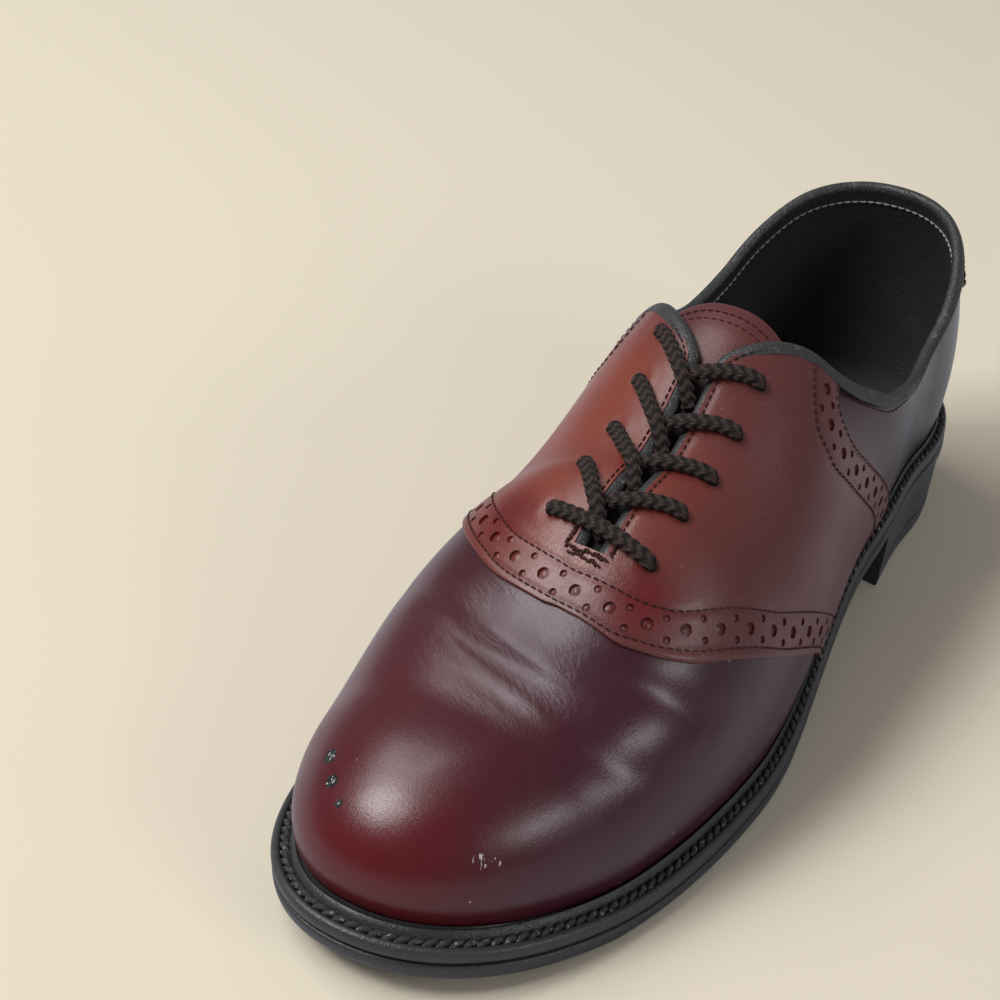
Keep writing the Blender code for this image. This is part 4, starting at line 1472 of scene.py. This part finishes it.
def stitched_lines():
    """Every row of dark thread on the saddle."""
    lines = []
    for side in SIDES:
        lines += [band_line(side, band, across) for band, across in BAND_ROWS]
        lines.append(
            edge_line(side, FACING_ROW_START, FACING_ROW_END, FACING_ROW_DROP, GAP + OVERLAY, 200)
        )
    return lines


def small_punch():
    size = sizes()
    return punch_shape(size.small_hole / 2, size.hole_depth * 0.8, 12)


def brogue_punches():
    """Punches along both bands: large holes in a row, and a small pair halfway between two."""
    size = sizes()
    big, small = punch_shape(size.big_hole / 2, size.hole_depth), small_punch()
    parts = []
    for band in ("front", "rear"):
        halves = [band_line(side, band, PUNCH_ROW) for side in SIDES]
        if band == "front":
            points = np.concatenate([halves[0].points, halves[1].points[::-1]])
            normals = np.concatenate([halves[0].normals, halves[1].normals[::-1]])
            middles = [Line(points, normals)]
        else:
            middles = halves
        for middle in middles:
            parts.append(copies(big, frames_on(middle, size.hole_pitch)))
            spots, along, across, outward = frames_on(middle, size.hole_pitch / 2)
            spots, along, across, outward = (values[1:-1:2] for values in (spots, along, across, outward))
            ahead = along * size.hole_pitch / 4
            for sideways in (-1, 1):
                moved = spots + ahead + across * sideways * size.big_hole * SMALL_HOLES_ASIDE
                parts.append(copies(small, (moved, along, across, outward)))
    return parts


def eyelet_at(side, row):
    """Place of an eyelet along the shoe, with the walked facings' small shift."""
    shift = EYELET_SHIFTS[row][SIDES.index(side)]
    return (FIRST_EYELET - row * EYELET_PITCH + shift) / LENGTH


def eyelet_places():
    """Points and frames of the ten eyelets on the facings."""
    spots, along, outward = [], [], []
    for side in SIDES:
        for row in range(EYELET_ROWS):
            station = station_at(side, eyelet_at(side, row))
            point, normal = on_shoe(side, station, turn_at_reach(side, station, EYELET_REACH), GAP + OVERLAY)
            spots.append(point)
            outward.append(normal)
            along.append(np.cross(normal, (1.0, 0.0, 0.0)))
    along = unit(np.array(along))
    return np.array(spots), along, np.cross(outward, along), np.array(outward)


# Relief of the saddle's face in metres: its soft edge, the channel of a stitch row, and the dip and
# the raised rim at an eyelet
EDGE_DROPS = (0.0006, 0.00015)
CHANNEL_DEPTH, CHANNEL_WIDTH = 0.00035, 0.0009
DIP_DEPTH, DIP_WIDTH = 0.0005, 0.0026
RIM_HEIGHT, RIM_RADIUS, RIM_WIDTH = 0.0003, 0.0042, 0.0012


def make_saddle(dome):
    """The saddle, with soft edges, sunk stitch rows, brogueing and eyelets."""
    bridge = dome.both((FRONT_COLUMN, THROAT_COLUMN), (LAST_ROW, dome.rows))
    faces = dome.both((FRONT_COLUMN, REAR_COLUMN), (1, LAST_ROW)) + bridge
    lift = np.full(len(dome.points), GAP + OVERLAY)
    for side in SIDES:
        for edge, inwards in ((FRONT_COLUMN, 1), (REAR_COLUMN, -1)):
            for step, drop in enumerate(EDGE_DROPS):
                for row in range(dome.rows + 1):
                    lift[dome.vertex(side, edge + inwards * step, row)] -= drop
    raised = dome.points + dome.normals * (GAP + OVERLAY)
    tree = tree_of([point for line in stitched_lines() for point in line.points])
    for vertex in {v for face in faces for v in face}:
        distance = tree.find(raised[vertex])[2]
        lift[vertex] -= CHANNEL_DEPTH * math.exp(-((distance / CHANNEL_WIDTH) ** 2))
    for spot in eyelet_places()[0]:
        distance = np.linalg.norm(raised - spot, axis=1)
        lift -= DIP_DEPTH * np.exp(-((distance / DIP_WIDTH) ** 2))
        lift += RIM_HEIGHT * np.exp(-(((distance - RIM_RADIUS) / RIM_WIDTH) ** 2))
    saddle = shell("saddle_leather", dome.points, dome.normals, faces, lift, GAP)
    eyelet = punch_shape(EYELET_RADIUS * 1.15, 3 * OVERLAY, 14)
    cut(saddle, brogue_punches() + [copies(eyelet, eyelet_places())])
    set_piece(saddle, "mahogany", ["saddle"])


# Heel tab: shares of the height at its lower edge and corners, share that is round, and its punches
TAB_DROP, TAB_CORNER = 0.54, 0.86
TAB_ROUND = 0.45
TAB_EDGE_DROP = 0.0005
TAB_PUNCH_PITCH = 0.0042


def tab_places(rows=22, half=40):
    """Side, station and turn over the heel tab, whose lower corners are round."""
    places = []
    for j in range(-half, half + 1):
        side = OUTER if j >= 0 else INNER
        share = abs(j) / half
        station = mix(3.0, float(station_at(side, TAB_END)), share)
        corner = np.clip((share - (1 - TAB_ROUND)) / TAB_ROUND, 0, 1)
        low = mix(TAB_DROP, TAB_CORNER, 1 - math.sqrt(1 - corner**2))
        top, bead = float(edge_turn(side, station)), float(bead_turn(side, station))
        places.append([(side, station, mix(mix(bead, top, low), top, i / rows)) for i in range(rows + 1)])
    return places


def make_tab():
    """The heel tab, with a row of small punches."""
    places = tab_places()
    columns, rows = len(places), len(places[0])
    points, normals = np.zeros((columns, rows, 3)), np.zeros((columns, rows, 3))
    for i, column in enumerate(places):
        side, station = column[0][0], column[0][1]
        points[i], normals[i] = on_shoe(side, station, np.array([turn for _, _, turn in column]))
    lift = np.full((columns, rows), GAP + OVERLAY)
    for edge in (lift[:, 0], lift[0], lift[-1]):
        edge -= TAB_EDGE_DROP
    tab = shell("heel_tab_leather", points, normals, grid_faces(columns, rows), lift, GAP)
    low = Line(points[:, 4] + normals[:, 4] * (GAP + OVERLAY), normals[:, 4])
    cut(tab, [copies(small_punch(), frames_on(low, TAB_PUNCH_PITCH))])
    set_piece(tab, "mahogany", ["heel_tab"])


def edge_chain(dome):
    """Side and column of every place along the top edge, from one end of the throat to the other."""
    chain = [(OUTER, column) for column in range(THROAT_COLUMN, dome.count)]
    return chain + [(INNER, column) for column in range(dome.count - 2, THROAT_COLUMN - 1, -1)]


def make_binding(dome):
    """The rolled edge: a soft strip folded over the top of the wall and down its outer face."""
    sections = []
    for side, column in edge_chain(dome):
        top = dome.vertex(side, column, LAST_ROW)
        point, normal = dome.points[top], dome.normals[top]
        up = point - dome.points[dome.vertex(side, column, LAST_ROW - 3)]
        up -= normal * up.dot(normal)
        up /= np.linalg.norm(up)
        at = float(feather(side, dome.grids[side][0][column, LAST_ROW])[0][1]) / LENGTH
        facing = min(max((at - FACING_START) / (FACING_WHOLE - FACING_START), 0.0), 1.0)
        section = []
        for across, rise in mix(np.array(BINDING_PROFILE), np.array(FACING_PROFILE), facing):
            off = mix(-WALL, GAP + OVERLAY, across)
            section.append(point + normal * off + up * (BINDING_GAP + rise * BINDING_HEIGHT))
        section += [point - normal * WALL * 0.9 - up * BINDING_HEIGHT * 0.8]
        sections.append(section)
    binding = loft("collar_roll", sections, closed=False)
    set_piece(binding, "binding", ["collar_binding"])


# Tongue: steps along it and to each side, roundness of its tip, and how far its edge and its stitch
# channels lie below its face, the channels by row
TONGUE_STEPS = 56, 26
TONGUE_TIP_POWER = 2.4
TONGUE_EDGE_DROP = 0.0008
TONGUE_CHANNELS = ((3, 0.0003), (5, 0.0002))


def make_tongue():
    """The tongue under the facings, with a sewn edge."""
    along, across = TONGUE_STEPS
    rows = np.arange(along + 1)[:, None]
    halves = []
    for side, steps in ((INNER, range(-across, 0)), (OUTER, range(0, across + 1))):
        steps = np.abs(np.array(steps))[None]
        share = steps / across
        at = mix(TONGUE_TIP + TONGUE_CORNER * share**TONGUE_TIP_POWER, TONGUE_FOOT, rows / along)
        half = TONGUE_HALF_WIDTH * smooth(TONGUE_SIDES, 1, at)
        station = station_at(side, at)
        turn = turn_at_reach(side, station, half * share)
        edge = np.minimum(np.minimum(rows / 3, (across - steps) / 2), 1.0)
        dip = sum(depth * np.exp(-((rows - float(row)) ** 2)) for row, depth in TONGUE_CHANNELS)
        lift = -(WALL + TONGUE_GAP) - TONGUE_EDGE_DROP * (1 - edge) ** 2 - dip
        halves.append((skin(side, station, turn) + SHIFT, skin_normal(side, station, turn), lift))
    points, normals, lift = (np.concatenate(both, axis=1) for both in zip(*halves))
    normals[:, across] = (normals[:, across - 1] + normals[:, across + 1]) / 2
    normals = unit(normals)
    faces = [face[::-1] for face in grid_faces(along + 1, 2 * across + 1)]
    under = -(WALL + TONGUE_GAP + TONGUE_THICKNESS)
    tongue = shell("tongue_leather", points, normals, faces, lift, under)
    set_piece(tongue, "tongue", ["tongue"])
    lines = []
    for row, _ in TONGUE_CHANNELS:
        middle = points[row, 3:-3] - normals[row, 3:-3] * (WALL + TONGUE_GAP + 0.0002)
        lines.append(Line(middle, normals[row, 3:-3]))
    return lines


def round_the_shoe(count=420):
    """Each side with its stations, at even steps round the sole's edge."""
    halves = []
    for side, order in ((OUTER, slice(None)), (INNER, slice(-2, 0, -1))):
        stations = np.linspace(0, 3, 2001)
        edge = outline(side, stations)
        lengths = distances(edge)
        even = np.interp(np.linspace(0, lengths[-1], count // 2 + 1), lengths, stations)
        halves.append((side, even[order]))
    return halves


def edge_ring(around, depth_of, height_of):
    """Points round the shoe a depth inside the sole's edge, at heights worked out from their place."""
    rings = []
    for side, stations in around:
        plan = inset(side, stations, depth_of(side, stations))[0]
        height = np.broadcast_to(height_of(plan[:, 1]), len(plan))
        rings.append(np.stack([plan[:, 0], -plan[:, 1], height], -1))
    return np.concatenate(rings) + SHIFT


def welt_base(y):
    return seat_height(y) - GAP - WELT_THICKNESS


def outsole_top(y):
    return welt_base(y) - GAP


def outsole_base(y):
    return np.maximum(outsole_top(y) - OUTSOLE_THICKNESS, 0.0)


def plate(name, layers, around):
    """A plate from its underside up: each layer is a depth inside the edge and a height rule."""
    count = sum(len(stations) for _, stations in around)
    points = np.concatenate([edge_ring(around, depth_of, height_of) for depth_of, height_of in layers])
    faces = []
    for layer in range(len(layers) - 1):
        for i in range(count):
            after = (i + 1) % count
            low, high = layer * count, (layer + 1) * count
            faces.append([low + i, low + after, high + after, high + i])
    half = count // 2
    for start in (0, (len(layers) - 1) * count):
        faces.append([start, start + 1, start + count - 1])
        for i in range(1, half - 1):
            faces.append([start + i, start + i + 1, start + count - i - 1, start + count - i])
        faces.append([start + half - 1, start + half, start + half + 1])
    return mesh_object(name, points, faces)


def make_outsole():
    """The outsole, with its rounded side and the plate that fills the welt."""

    def edge(inwards, downwards):
        return (
            lambda side, station: inwards * EDGE_ROUND,
            lambda y: mix(outsole_top(y), outsole_base(y), downwards),
        )

    def panel(side, station):
        return ledge(side, station) + WELT_REACH + GAP

    layers = [edge(*row) for row in reversed(OUTSOLE_PROFILE)]
    layers += [(panel, outsole_top), (panel, lambda y: seat_height(y) - GAP)]
    outsole = plate("rubber_outsole", layers, round_the_shoe())
    set_piece(outsole, "rubber", ["outsole"], 50)


# Edge of the insole: metres inwards, share of its thickness
INSOLE_PROFILE = ((0.0, 0.0), (0.0, 0.7), (0.0004, 0.93), (0.0012, 1.0), (0.008, 0.95), (0.016, 0.9))


def make_insole():
    """The insole, whose edge rounds off towards a slightly hollow middle."""

    def edge(inwards):
        return lambda side, station: ledge(side, station) + WALL + INSOLE_CLEARANCE + inwards

    def height(share):
        return lambda y: seat_height(y) + INSOLE_THICKNESS * share

    layers = [(edge(inwards), height(share)) for inwards, share in INSOLE_PROFILE]
    sock = plate("insole_sock", layers, round_the_shoe(240))
    set_piece(sock, "lining", ["insole"])


def make_heel():
    """The heel block, with a groove above its lift and a hollow breast."""
    steps = 60
    around = []
    for side in SIDES:
        stations = np.linspace(float(station_at(side, BREAST)), 3.0, steps + 1)
        around.append((side, stations if side is OUTER else stations[-2::-1]))
    rings = []
    top = float(outsole_base(0.0)) - GAP
    for taper, height in HEEL_PROFILE:
        ring = list(edge_ring(around, lambda side, stations: taper * HEEL_TAPER, lambda y: 0.0))
        start, end = ring[-1], ring[0]
        for i in range(1, 24):
            share = i / 24
            point = mix(start, end, share)
            point[1] += BREAST_CURVE * math.sin(math.pi * share)
            ring.append(point)
        rings.append([(x, y, height * top) for x, y, _ in ring])
    heel = loft("rubber_heel", rings, closed=False)
    set_piece(heel, "rubber", ["heel"], 50)


def make_welt():
    """The storm welt: a bead against the upper, a sunk channel and a lip at the sole's edge."""
    around = round_the_shoe(480)

    def inside(share, extra=0.0):
        return lambda side, stations: share * (ledge(side, stations) - GAP) + extra

    lows, highs = [], []
    for side, stations in around:
        normal = feather(side, stations)[1]
        outward = np.stack([normal[:, 0], -normal[:, 1], np.zeros(len(stations))], -1) * GAP
        lows.append(skin(side, stations, 0.0) + SHIFT + outward)
        highs.append(skin(side, stations, bead_turn(side, stations)) + SHIFT + outward)
    low, high = np.concatenate(lows), np.concatenate(highs)
    seat = edge_ring(around, inside(1.0), seat_height)[:, 2]
    sections = [
        edge_ring(around, inside(1.0, WELT_REACH), welt_base),
        edge_ring(around, inside(1.0, WELT_REACH), lambda y: seat_height(y) - GAP),
        np.stack([low[:, 0], low[:, 1], seat - GAP], -1),
        mix(low, high, 0.70),
    ]
    for out, up in WELT_PROFILE:
        edge = edge_ring(around, inside(1 - out), seat_height)
        edge[:, :2] += ((high - low) * max(0.0, 1 - out / BEAD_WIDTH) * max(up, 0.0))[:, :2]
        edge[:, 2] += up * BEAD_HEIGHT
        sections.append(edge)
    for depth, drop in WELT_EDGE:
        edge = edge_ring(around, lambda side, stations: depth * EDGE_ROUND, seat_height)
        edge[:, 2] -= drop * (WELT_THICKNESS + GAP)
        sections.append(edge)
    welt = loft("storm_welt", np.stack(sections, 1))
    set_piece(welt, "rubber", ["welt"], 50)
    channel = edge_ring(around, inside(1 - CHANNEL), lambda y: seat_height(y) + STITCH_LIFT)
    return Line(channel, np.tile((0.0, 0.0, 1.0), (len(channel), 1)))


ROPE_SLANT = math.radians(24)
ROPE_WIDTH, ROPE_RISE = 0.0018, 0.0008


def turned_frames(spots, along, across, outward, turn):
    """The same spots with their directions turned about the outward one."""
    turned = along * np.cos(turn) + across * np.sin(turn)
    return spots, turned, np.cross(outward, turned), outward


def make_rope(channel):
    """Slanted strands of heavy thread along the welt's channel."""
    pitch = sizes().rope_pitch
    strand = thread_shape(pitch * 1.5, ROPE_WIDTH, ROPE_RISE, 8, 8)
    frames = turned_frames(*frames_on(channel, pitch, closed=True), ROPE_SLANT)
    rope = mesh_object("welt_stitching", *copies(strand, frames))
    set_piece(rope, "rope", sharp=80)


def sew(name, lines, finish, pitch, width, rise, fill=0.82):
    """A piece of separate stitches along lines, each as long as a share of the pitch."""
    stitch = thread_shape(pitch * fill, width, rise)
    points, faces = joined([copies(stitch, frames_on(line, pitch)) for line in lines])
    set_piece(mesh_object(name, points, faces), finish, sharp=80)


# Stitch rows of the collar, outside and on the lining: start and end along the shoe, metres below the edge
COLLAR_ROW_START, COLLAR_ROW_END, COLLAR_ROW_DROP = 0.375, 0.02, 0.0036
LINING_ROW_START, LINING_ROW_END, LINING_ROW_DROP = 0.395, 0.012, 0.0042
LINING_PITCH, LINING_THREAD = 0.0026, 0.0007


def make_stitching(tongue_lines):
    """Dark thread on the outside, and pale thread on the lining."""
    size = sizes()
    lift = GAP + OVERLAY
    dark = stitched_lines() + tongue_lines
    for side in SIDES:
        dark.append(edge_line(side, COLLAR_ROW_START, TAB_END, COLLAR_ROW_DROP, 0.0, 240))
        dark.append(edge_line(side, TAB_END, COLLAR_ROW_END, COLLAR_ROW_DROP, lift, 60))
    for row in (2, 7):
        dark.append(line_of([on_shoe(*column[row], lift) for column in tab_places()]))
    sew("stitching", dark, "thread", size.stitch_pitch, size.thread_width, 0.0001)
    inside = []
    for side in SIDES:
        line = edge_line(side, LINING_ROW_START, LINING_ROW_END, LINING_ROW_DROP, -WALL, 300)
        inside.append(Line(line.points, -line.normals))
    sew("lining_stitching", inside, "pale", LINING_PITCH, LINING_THREAD, 0.0003, 0.95)


def throat_point(at, across, lift):
    """A point across the throat: metres from its middle, and above the facings' face."""
    side = OUTER if across >= 0 else INNER
    station = station_at(side, at)
    return on_shoe(side, station, turn_at_reach(side, station, abs(across)), GAP + OVERLAY + lift)


# Rows of torn thread round the throat's end: start and end towards the toe and across, in metres
TACK_ROWS = (
    ((-0.0052, -0.0061), (0.0006, -0.0064)),
    ((0.0010, -0.0064), (0.0013, 0.0062)),
    ((0.0004, 0.0064), (-0.0040, 0.0060)),
    ((0.0023, -0.0048), (0.0027, 0.0052)),
)


TACK_LENGTH, TACK_WIDTH, TACK_RISE, TACK_PITCH = 0.0017, 0.0008, 0.0005, 0.0010
TACK_WANDER = 0.0004


def make_tack():
    """Torn thread that holds the end of the throat."""
    stitch = thread_shape(TACK_LENGTH, TACK_WIDTH, TACK_RISE)
    parts = []
    for row, (start, end) in enumerate(TACK_ROWS):
        placed = []
        for i, share in enumerate(np.linspace(0, 1, 9)):
            ahead, aside = mix(np.array(start), np.array(end), share)
            ahead += TACK_WANDER * math.sin(1.3 * i * i + 2.3 * row)
            placed.append(throat_point(THROAT_END + ahead / LENGTH, aside, 0.0001))
        frames = frames_on(line_of(placed), TACK_PITCH)
        lean = np.sin(2.6 * np.arange(len(frames[0])) ** 1.5 + row)[:, None]
        parts.append(copies(stitch, turned_frames(*frames, lean)))
    tack = mesh_object("throat_tack", *joined(parts))
    set_piece(tack, "tack", sharp=80)


# Braid of the lace: spacing and points of its rings, run and slant of its strands, and their relief
RING_STEP = 0.00042
RING_POINTS = 36
BRAID_PITCH = 0.0030
BRAID_SLANT = 4.2
BRAID_RELIEF = 0.09

# Width of the lace, as a share, where it passes a hole and where it is hidden under a facing
HOLE_SQUEEZE = 0.72
HIDDEN_SQUEEZE = 0.62
HIDDEN_LIFT, HIDDEN_ACROSS = -0.0015, 0.015


def lace_tube(strand, squeeze):
    """An oval braided tube through a strand's points, whose threads stand out in relief."""
    size = sizes()
    places = np.linspace(0, len(strand.points) - 1, 40 * (len(strand.points) - 1))
    dense, whole, share = curve_through(strand.points, places)
    facing = mix(strand.normals[whole], strand.normals[whole + 1], share)
    thin = mix(squeeze[whole], squeeze[whole + 1], share[:, 0])
    lengths = distances(dense)
    where = np.linspace(0, lengths[-1], int(lengths[-1] / RING_STEP))
    line = read_line(dense, lengths, where)
    thin = np.interp(where, lengths, thin)
    along = unit(np.gradient(line, axis=0))
    outward = square_to(read_line(facing, lengths, where), along)
    across = np.cross(along, outward)
    turns = np.linspace(0, 2 * math.pi, RING_POINTS, endpoint=False)
    wave = 2 * math.pi * where[:, None] / BRAID_PITCH
    chevron = np.abs((turns * 3 / math.pi) % 2 - 1)
    threads = np.sin(wave + BRAID_SLANT * chevron)
    seam = np.cos(2 * math.pi * chevron) ** 8
    swell = 1 + BRAID_RELIEF * threads - BRAID_RELIEF * seam
    wide = swell * (size.lace_width / 2 * thin)[:, None] * np.cos(turns)
    high = swell * (size.lace_thickness / 2 * (0.5 + 0.5 * thin))[:, None] * np.sin(turns)
    sections = line[:, None] + wide[..., None] * across[:, None] + high[..., None] * outward[:, None]
    # Strand relief, high on the threads' crests and low in the gaps; the braid finish also uses it for its
    # painted highlight and painted shade
    groove = 0.5 + 0.5 * threads * (1 - seam)
    return (*taken(loft("strand", sections, closed=False)), groove.ravel())


def make_lace():
    """The lace through all eyelets: a straight first bar, then strands that dive into the throat."""
    parts, grooves = [], []
    for row in range(EYELET_ROWS):
        outer, inner = (eyelet_at(side, row) for side in SIDES)
        for strand in (FIRST_STRAND,) if row == 0 else (OUTER_STRAND, INNER_STRAND):
            placed = []
            for across, ahead, lift in strand:
                if row == 0:
                    start = mix(inner, outer, (across / EYELET_REACH + 1) / 2)
                else:
                    start = outer if strand is OUTER_STRAND else inner
                placed.append(throat_point(start + ahead / LENGTH, across, lift))
            hidden = [lift < HIDDEN_LIFT and abs(across) > HIDDEN_ACROSS for across, _, lift in strand]
            squeeze = np.where(hidden, HIDDEN_SQUEEZE, 1.0)
            squeeze[1] = HOLE_SQUEEZE
            if row == 0:
                squeeze[-2] = HOLE_SQUEEZE
            points, faces, groove = lace_tube(line_of(placed), squeeze)
            parts.append((points, faces))
            grooves.append(groove)
    lace = mesh_object("braided_lace", *joined(parts))
    lace.data.attributes.new("strand", "FLOAT", "POINT").data.foreach_set("value", np.concatenate(grooves))
    rows = [f"lace_row_{row + 1}" for row in range(EYELET_ROWS)]
    set_piece(lace, "lace", rows, 70)


# Stage

CAMERA_AIM = (-0.0734, 0.0201, 0.0204)
CAMERA_AZIMUTH = 34.378
CAMERA_ELEVATION = 34.791
CAMERA_DISTANCE = 0.6437
CAMERA_LENS = 71.85

FLOOR_SIZE = 12.0
# The floor as the shoe reflects it: neutral, where the camera sees it beige
REFLECTED_FLOOR = (0.60, 0.60, 0.62)
SKY = (0.96, 0.98, 1.03)
SKY_STRENGTH = 0.22

# Lamps: name, azimuth and elevation in degrees, width, height, strength in watts
LAMP_DISTANCE = 2.2
LAMPS = (
    ("lamp_front", -44.0, 54.0, 0.90, 0.72, 30.0),
    ("lamp_inner", -92.0, 60.0, 1.10, 1.00, 17.0),
    ("lamp_outer", 84.0, 28.0, 1.00, 0.50, 10.0),
)


def make_floor():
    deselect()
    bpy.ops.mesh.primitive_plane_add(size=1.0)
    floor = resized((FLOOR_SIZE, FLOOR_SIZE, 1.0))
    floor.name = "floor"
    material, w, shader = new_material("pale_floor", 0.9, Specular_IOR_Level=0.1)
    tone = colours().floor
    mottle = w.noise(w.place(), 6.0, 2.0, 0.5)
    seen = w.blend(w.times(mottle, 0.1), tone, [0.96 * c for c in tone])
    direct = w.node("ShaderNodeLightPath").outputs["Is Camera Ray"]
    w.set(shader.inputs["Base Color"], w.blend(direct, REFLECTED_FLOOR, seen))
    floor.data.materials.append(material)


def direction(azimuth, elevation):
    """Unit vector from the shoe to where a viewer stands: azimuth 0 sees the toe, 90 the outer side."""
    a, e = math.radians(azimuth), math.radians(elevation)
    return Vector((math.sin(a) * math.cos(e), -math.cos(a) * math.cos(e), math.sin(e)))


def look_from(name, data, aim, azimuth, elevation, distance):
    """A lamp or camera at a distance from a point, turned towards it."""
    thing = bpy.data.objects.new(name, data)
    back = direction(azimuth, elevation)
    thing.location = Vector(aim) + back * distance
    thing.rotation_euler = (-back).to_track_quat("-Z", "Y").to_euler()
    bpy.context.scene.collection.objects.link(thing)
    return thing


def make_lamps():
    for name, azimuth, elevation, width, height, power in LAMPS:
        data = bpy.data.lights.new(name, "AREA")
        data.shape, data.size, data.size_y, data.energy = "RECTANGLE", width, height, power
        look_from(name, data, (0.0, 0.0, 0.0), azimuth, elevation, LAMP_DISTANCE)
    world = bpy.data.worlds.new("studio")
    world.use_nodes = True
    back = world.node_tree.nodes["Background"]
    back.inputs["Color"].default_value = rgb(SKY)
    back.inputs["Strength"].default_value = SKY_STRENGTH
    bpy.context.scene.world = world


def make_camera():
    data = bpy.data.cameras.new("camera")
    data.sensor_width, data.lens = 36.0, CAMERA_LENS
    data.clip_start, data.clip_end = 0.05, 20.0
    view = (CAMERA_AIM, CAMERA_AZIMUTH, CAMERA_ELEVATION, CAMERA_DISTANCE)
    bpy.context.scene.camera = look_from("camera", data, *view)
    bpy.context.scene.view_settings.view_transform = "Standard"


# Operators

SHARED = {}


def shared_dome():
    if "dome" not in SHARED:
        SHARED["dome"] = Dome()
    return SHARED["dome"]


class SHOE_OT_finishes(bpy.types.Operator):
    """Makes the leather, thread and rubber finishes"""

    bl_idname = "shoe.finishes"
    bl_label = "Finishes"

    def execute(self, context):
        make_finishes()
        return {"FINISHED"}


class SHOE_OT_upper(bpy.types.Operator):
    """Makes the upper with its walking folds, and its lining"""

    bl_idname = "shoe.upper"
    bl_label = "Upper"

    def execute(self, context):
        make_upper(shared_dome())
        return {"FINISHED"}


class SHOE_OT_saddle(bpy.types.Operator):
    """Makes the brogued saddle and the heel tab"""

    bl_idname = "shoe.saddle"
    bl_label = "Saddle and tab"

    def execute(self, context):
        make_saddle(shared_dome())
        make_tab()
        return {"FINISHED"}


class SHOE_OT_collar(bpy.types.Operator):
    """Makes the rolled binding, the tongue and the insole"""

    bl_idname = "shoe.collar"
    bl_label = "Binding, tongue and insole"

    def execute(self, context):
        make_binding(shared_dome())
        SHARED["tongue"] = make_tongue()
        make_insole()
        return {"FINISHED"}


class SHOE_OT_sole(bpy.types.Operator):
    """Makes the welt with its stitching, the outsole and the heel"""

    bl_idname = "shoe.sole"
    bl_label = "Sole"

    def execute(self, context):
        make_rope(make_welt())
        make_outsole()
        make_heel()
        return {"FINISHED"}


class SHOE_OT_thread(bpy.types.Operator):
    """Sews the rows of thread on the leather"""

    bl_idname = "shoe.thread"
    bl_label = "Stitching"

    def execute(self, context):
        make_stitching(SHARED["tongue"])
        make_tack()
        return {"FINISHED"}


class SHOE_OT_lace(bpy.types.Operator):
    """Runs the braided lace through the eyelets"""

    bl_idname = "shoe.lace"
    bl_label = "Lace"

    def execute(self, context):
        make_lace()
        return {"FINISHED"}


class SHOE_OT_stage(bpy.types.Operator):
    """Makes the floor, the lamps and the camera"""

    bl_idname = "shoe.stage"
    bl_label = "Stage"

    def execute(self, context):
        make_floor()
        make_lamps()
        make_camera()
        return {"FINISHED"}


OPERATORS = (
    SHOE_OT_finishes,
    SHOE_OT_upper,
    SHOE_OT_saddle,
    SHOE_OT_collar,
    SHOE_OT_sole,
    SHOE_OT_thread,
    SHOE_OT_lace,
    SHOE_OT_stage,
)


class SHOE_PT_panel(bpy.types.Panel):
    """Lists the steps that dress the shoe"""

    bl_idname = "SHOE_PT_panel"
    bl_label = "Saddle shoe"
    bl_space_type = "VIEW_3D"
    bl_region_type = "UI"
    bl_category = "Shoe"

    def draw(self, context):
        column = self.layout.column(align=True)
        for operator in OPERATORS:
            column.operator(operator.bl_idname, text=operator.bl_label)
        for settings in (context.scene.shoe_sizes, context.scene.shoe_colours):
            for name in settings.__annotations__:
                column.prop(settings, name)


CLASSES = (ShoeSizes, ShoeColours, *OPERATORS, SHOE_PT_panel)


def register():
    for cls in CLASSES:
        bpy.utils.register_class(cls)
    bpy.types.Scene.shoe_sizes = bpy.props.PointerProperty(type=ShoeSizes)
    bpy.types.Scene.shoe_colours = bpy.props.PointerProperty(type=ShoeColours)


def unregister():
    del bpy.types.Scene.shoe_sizes
    del bpy.types.Scene.shoe_colours
    for cls in reversed(CLASSES):
        bpy.utils.unregister_class(cls)


def main():
    register()
    for operator in OPERATORS:
        family, name = operator.bl_idname.split(".")
        getattr(getattr(bpy.ops, family), name)()


if __name__ == "__main__":
    main()
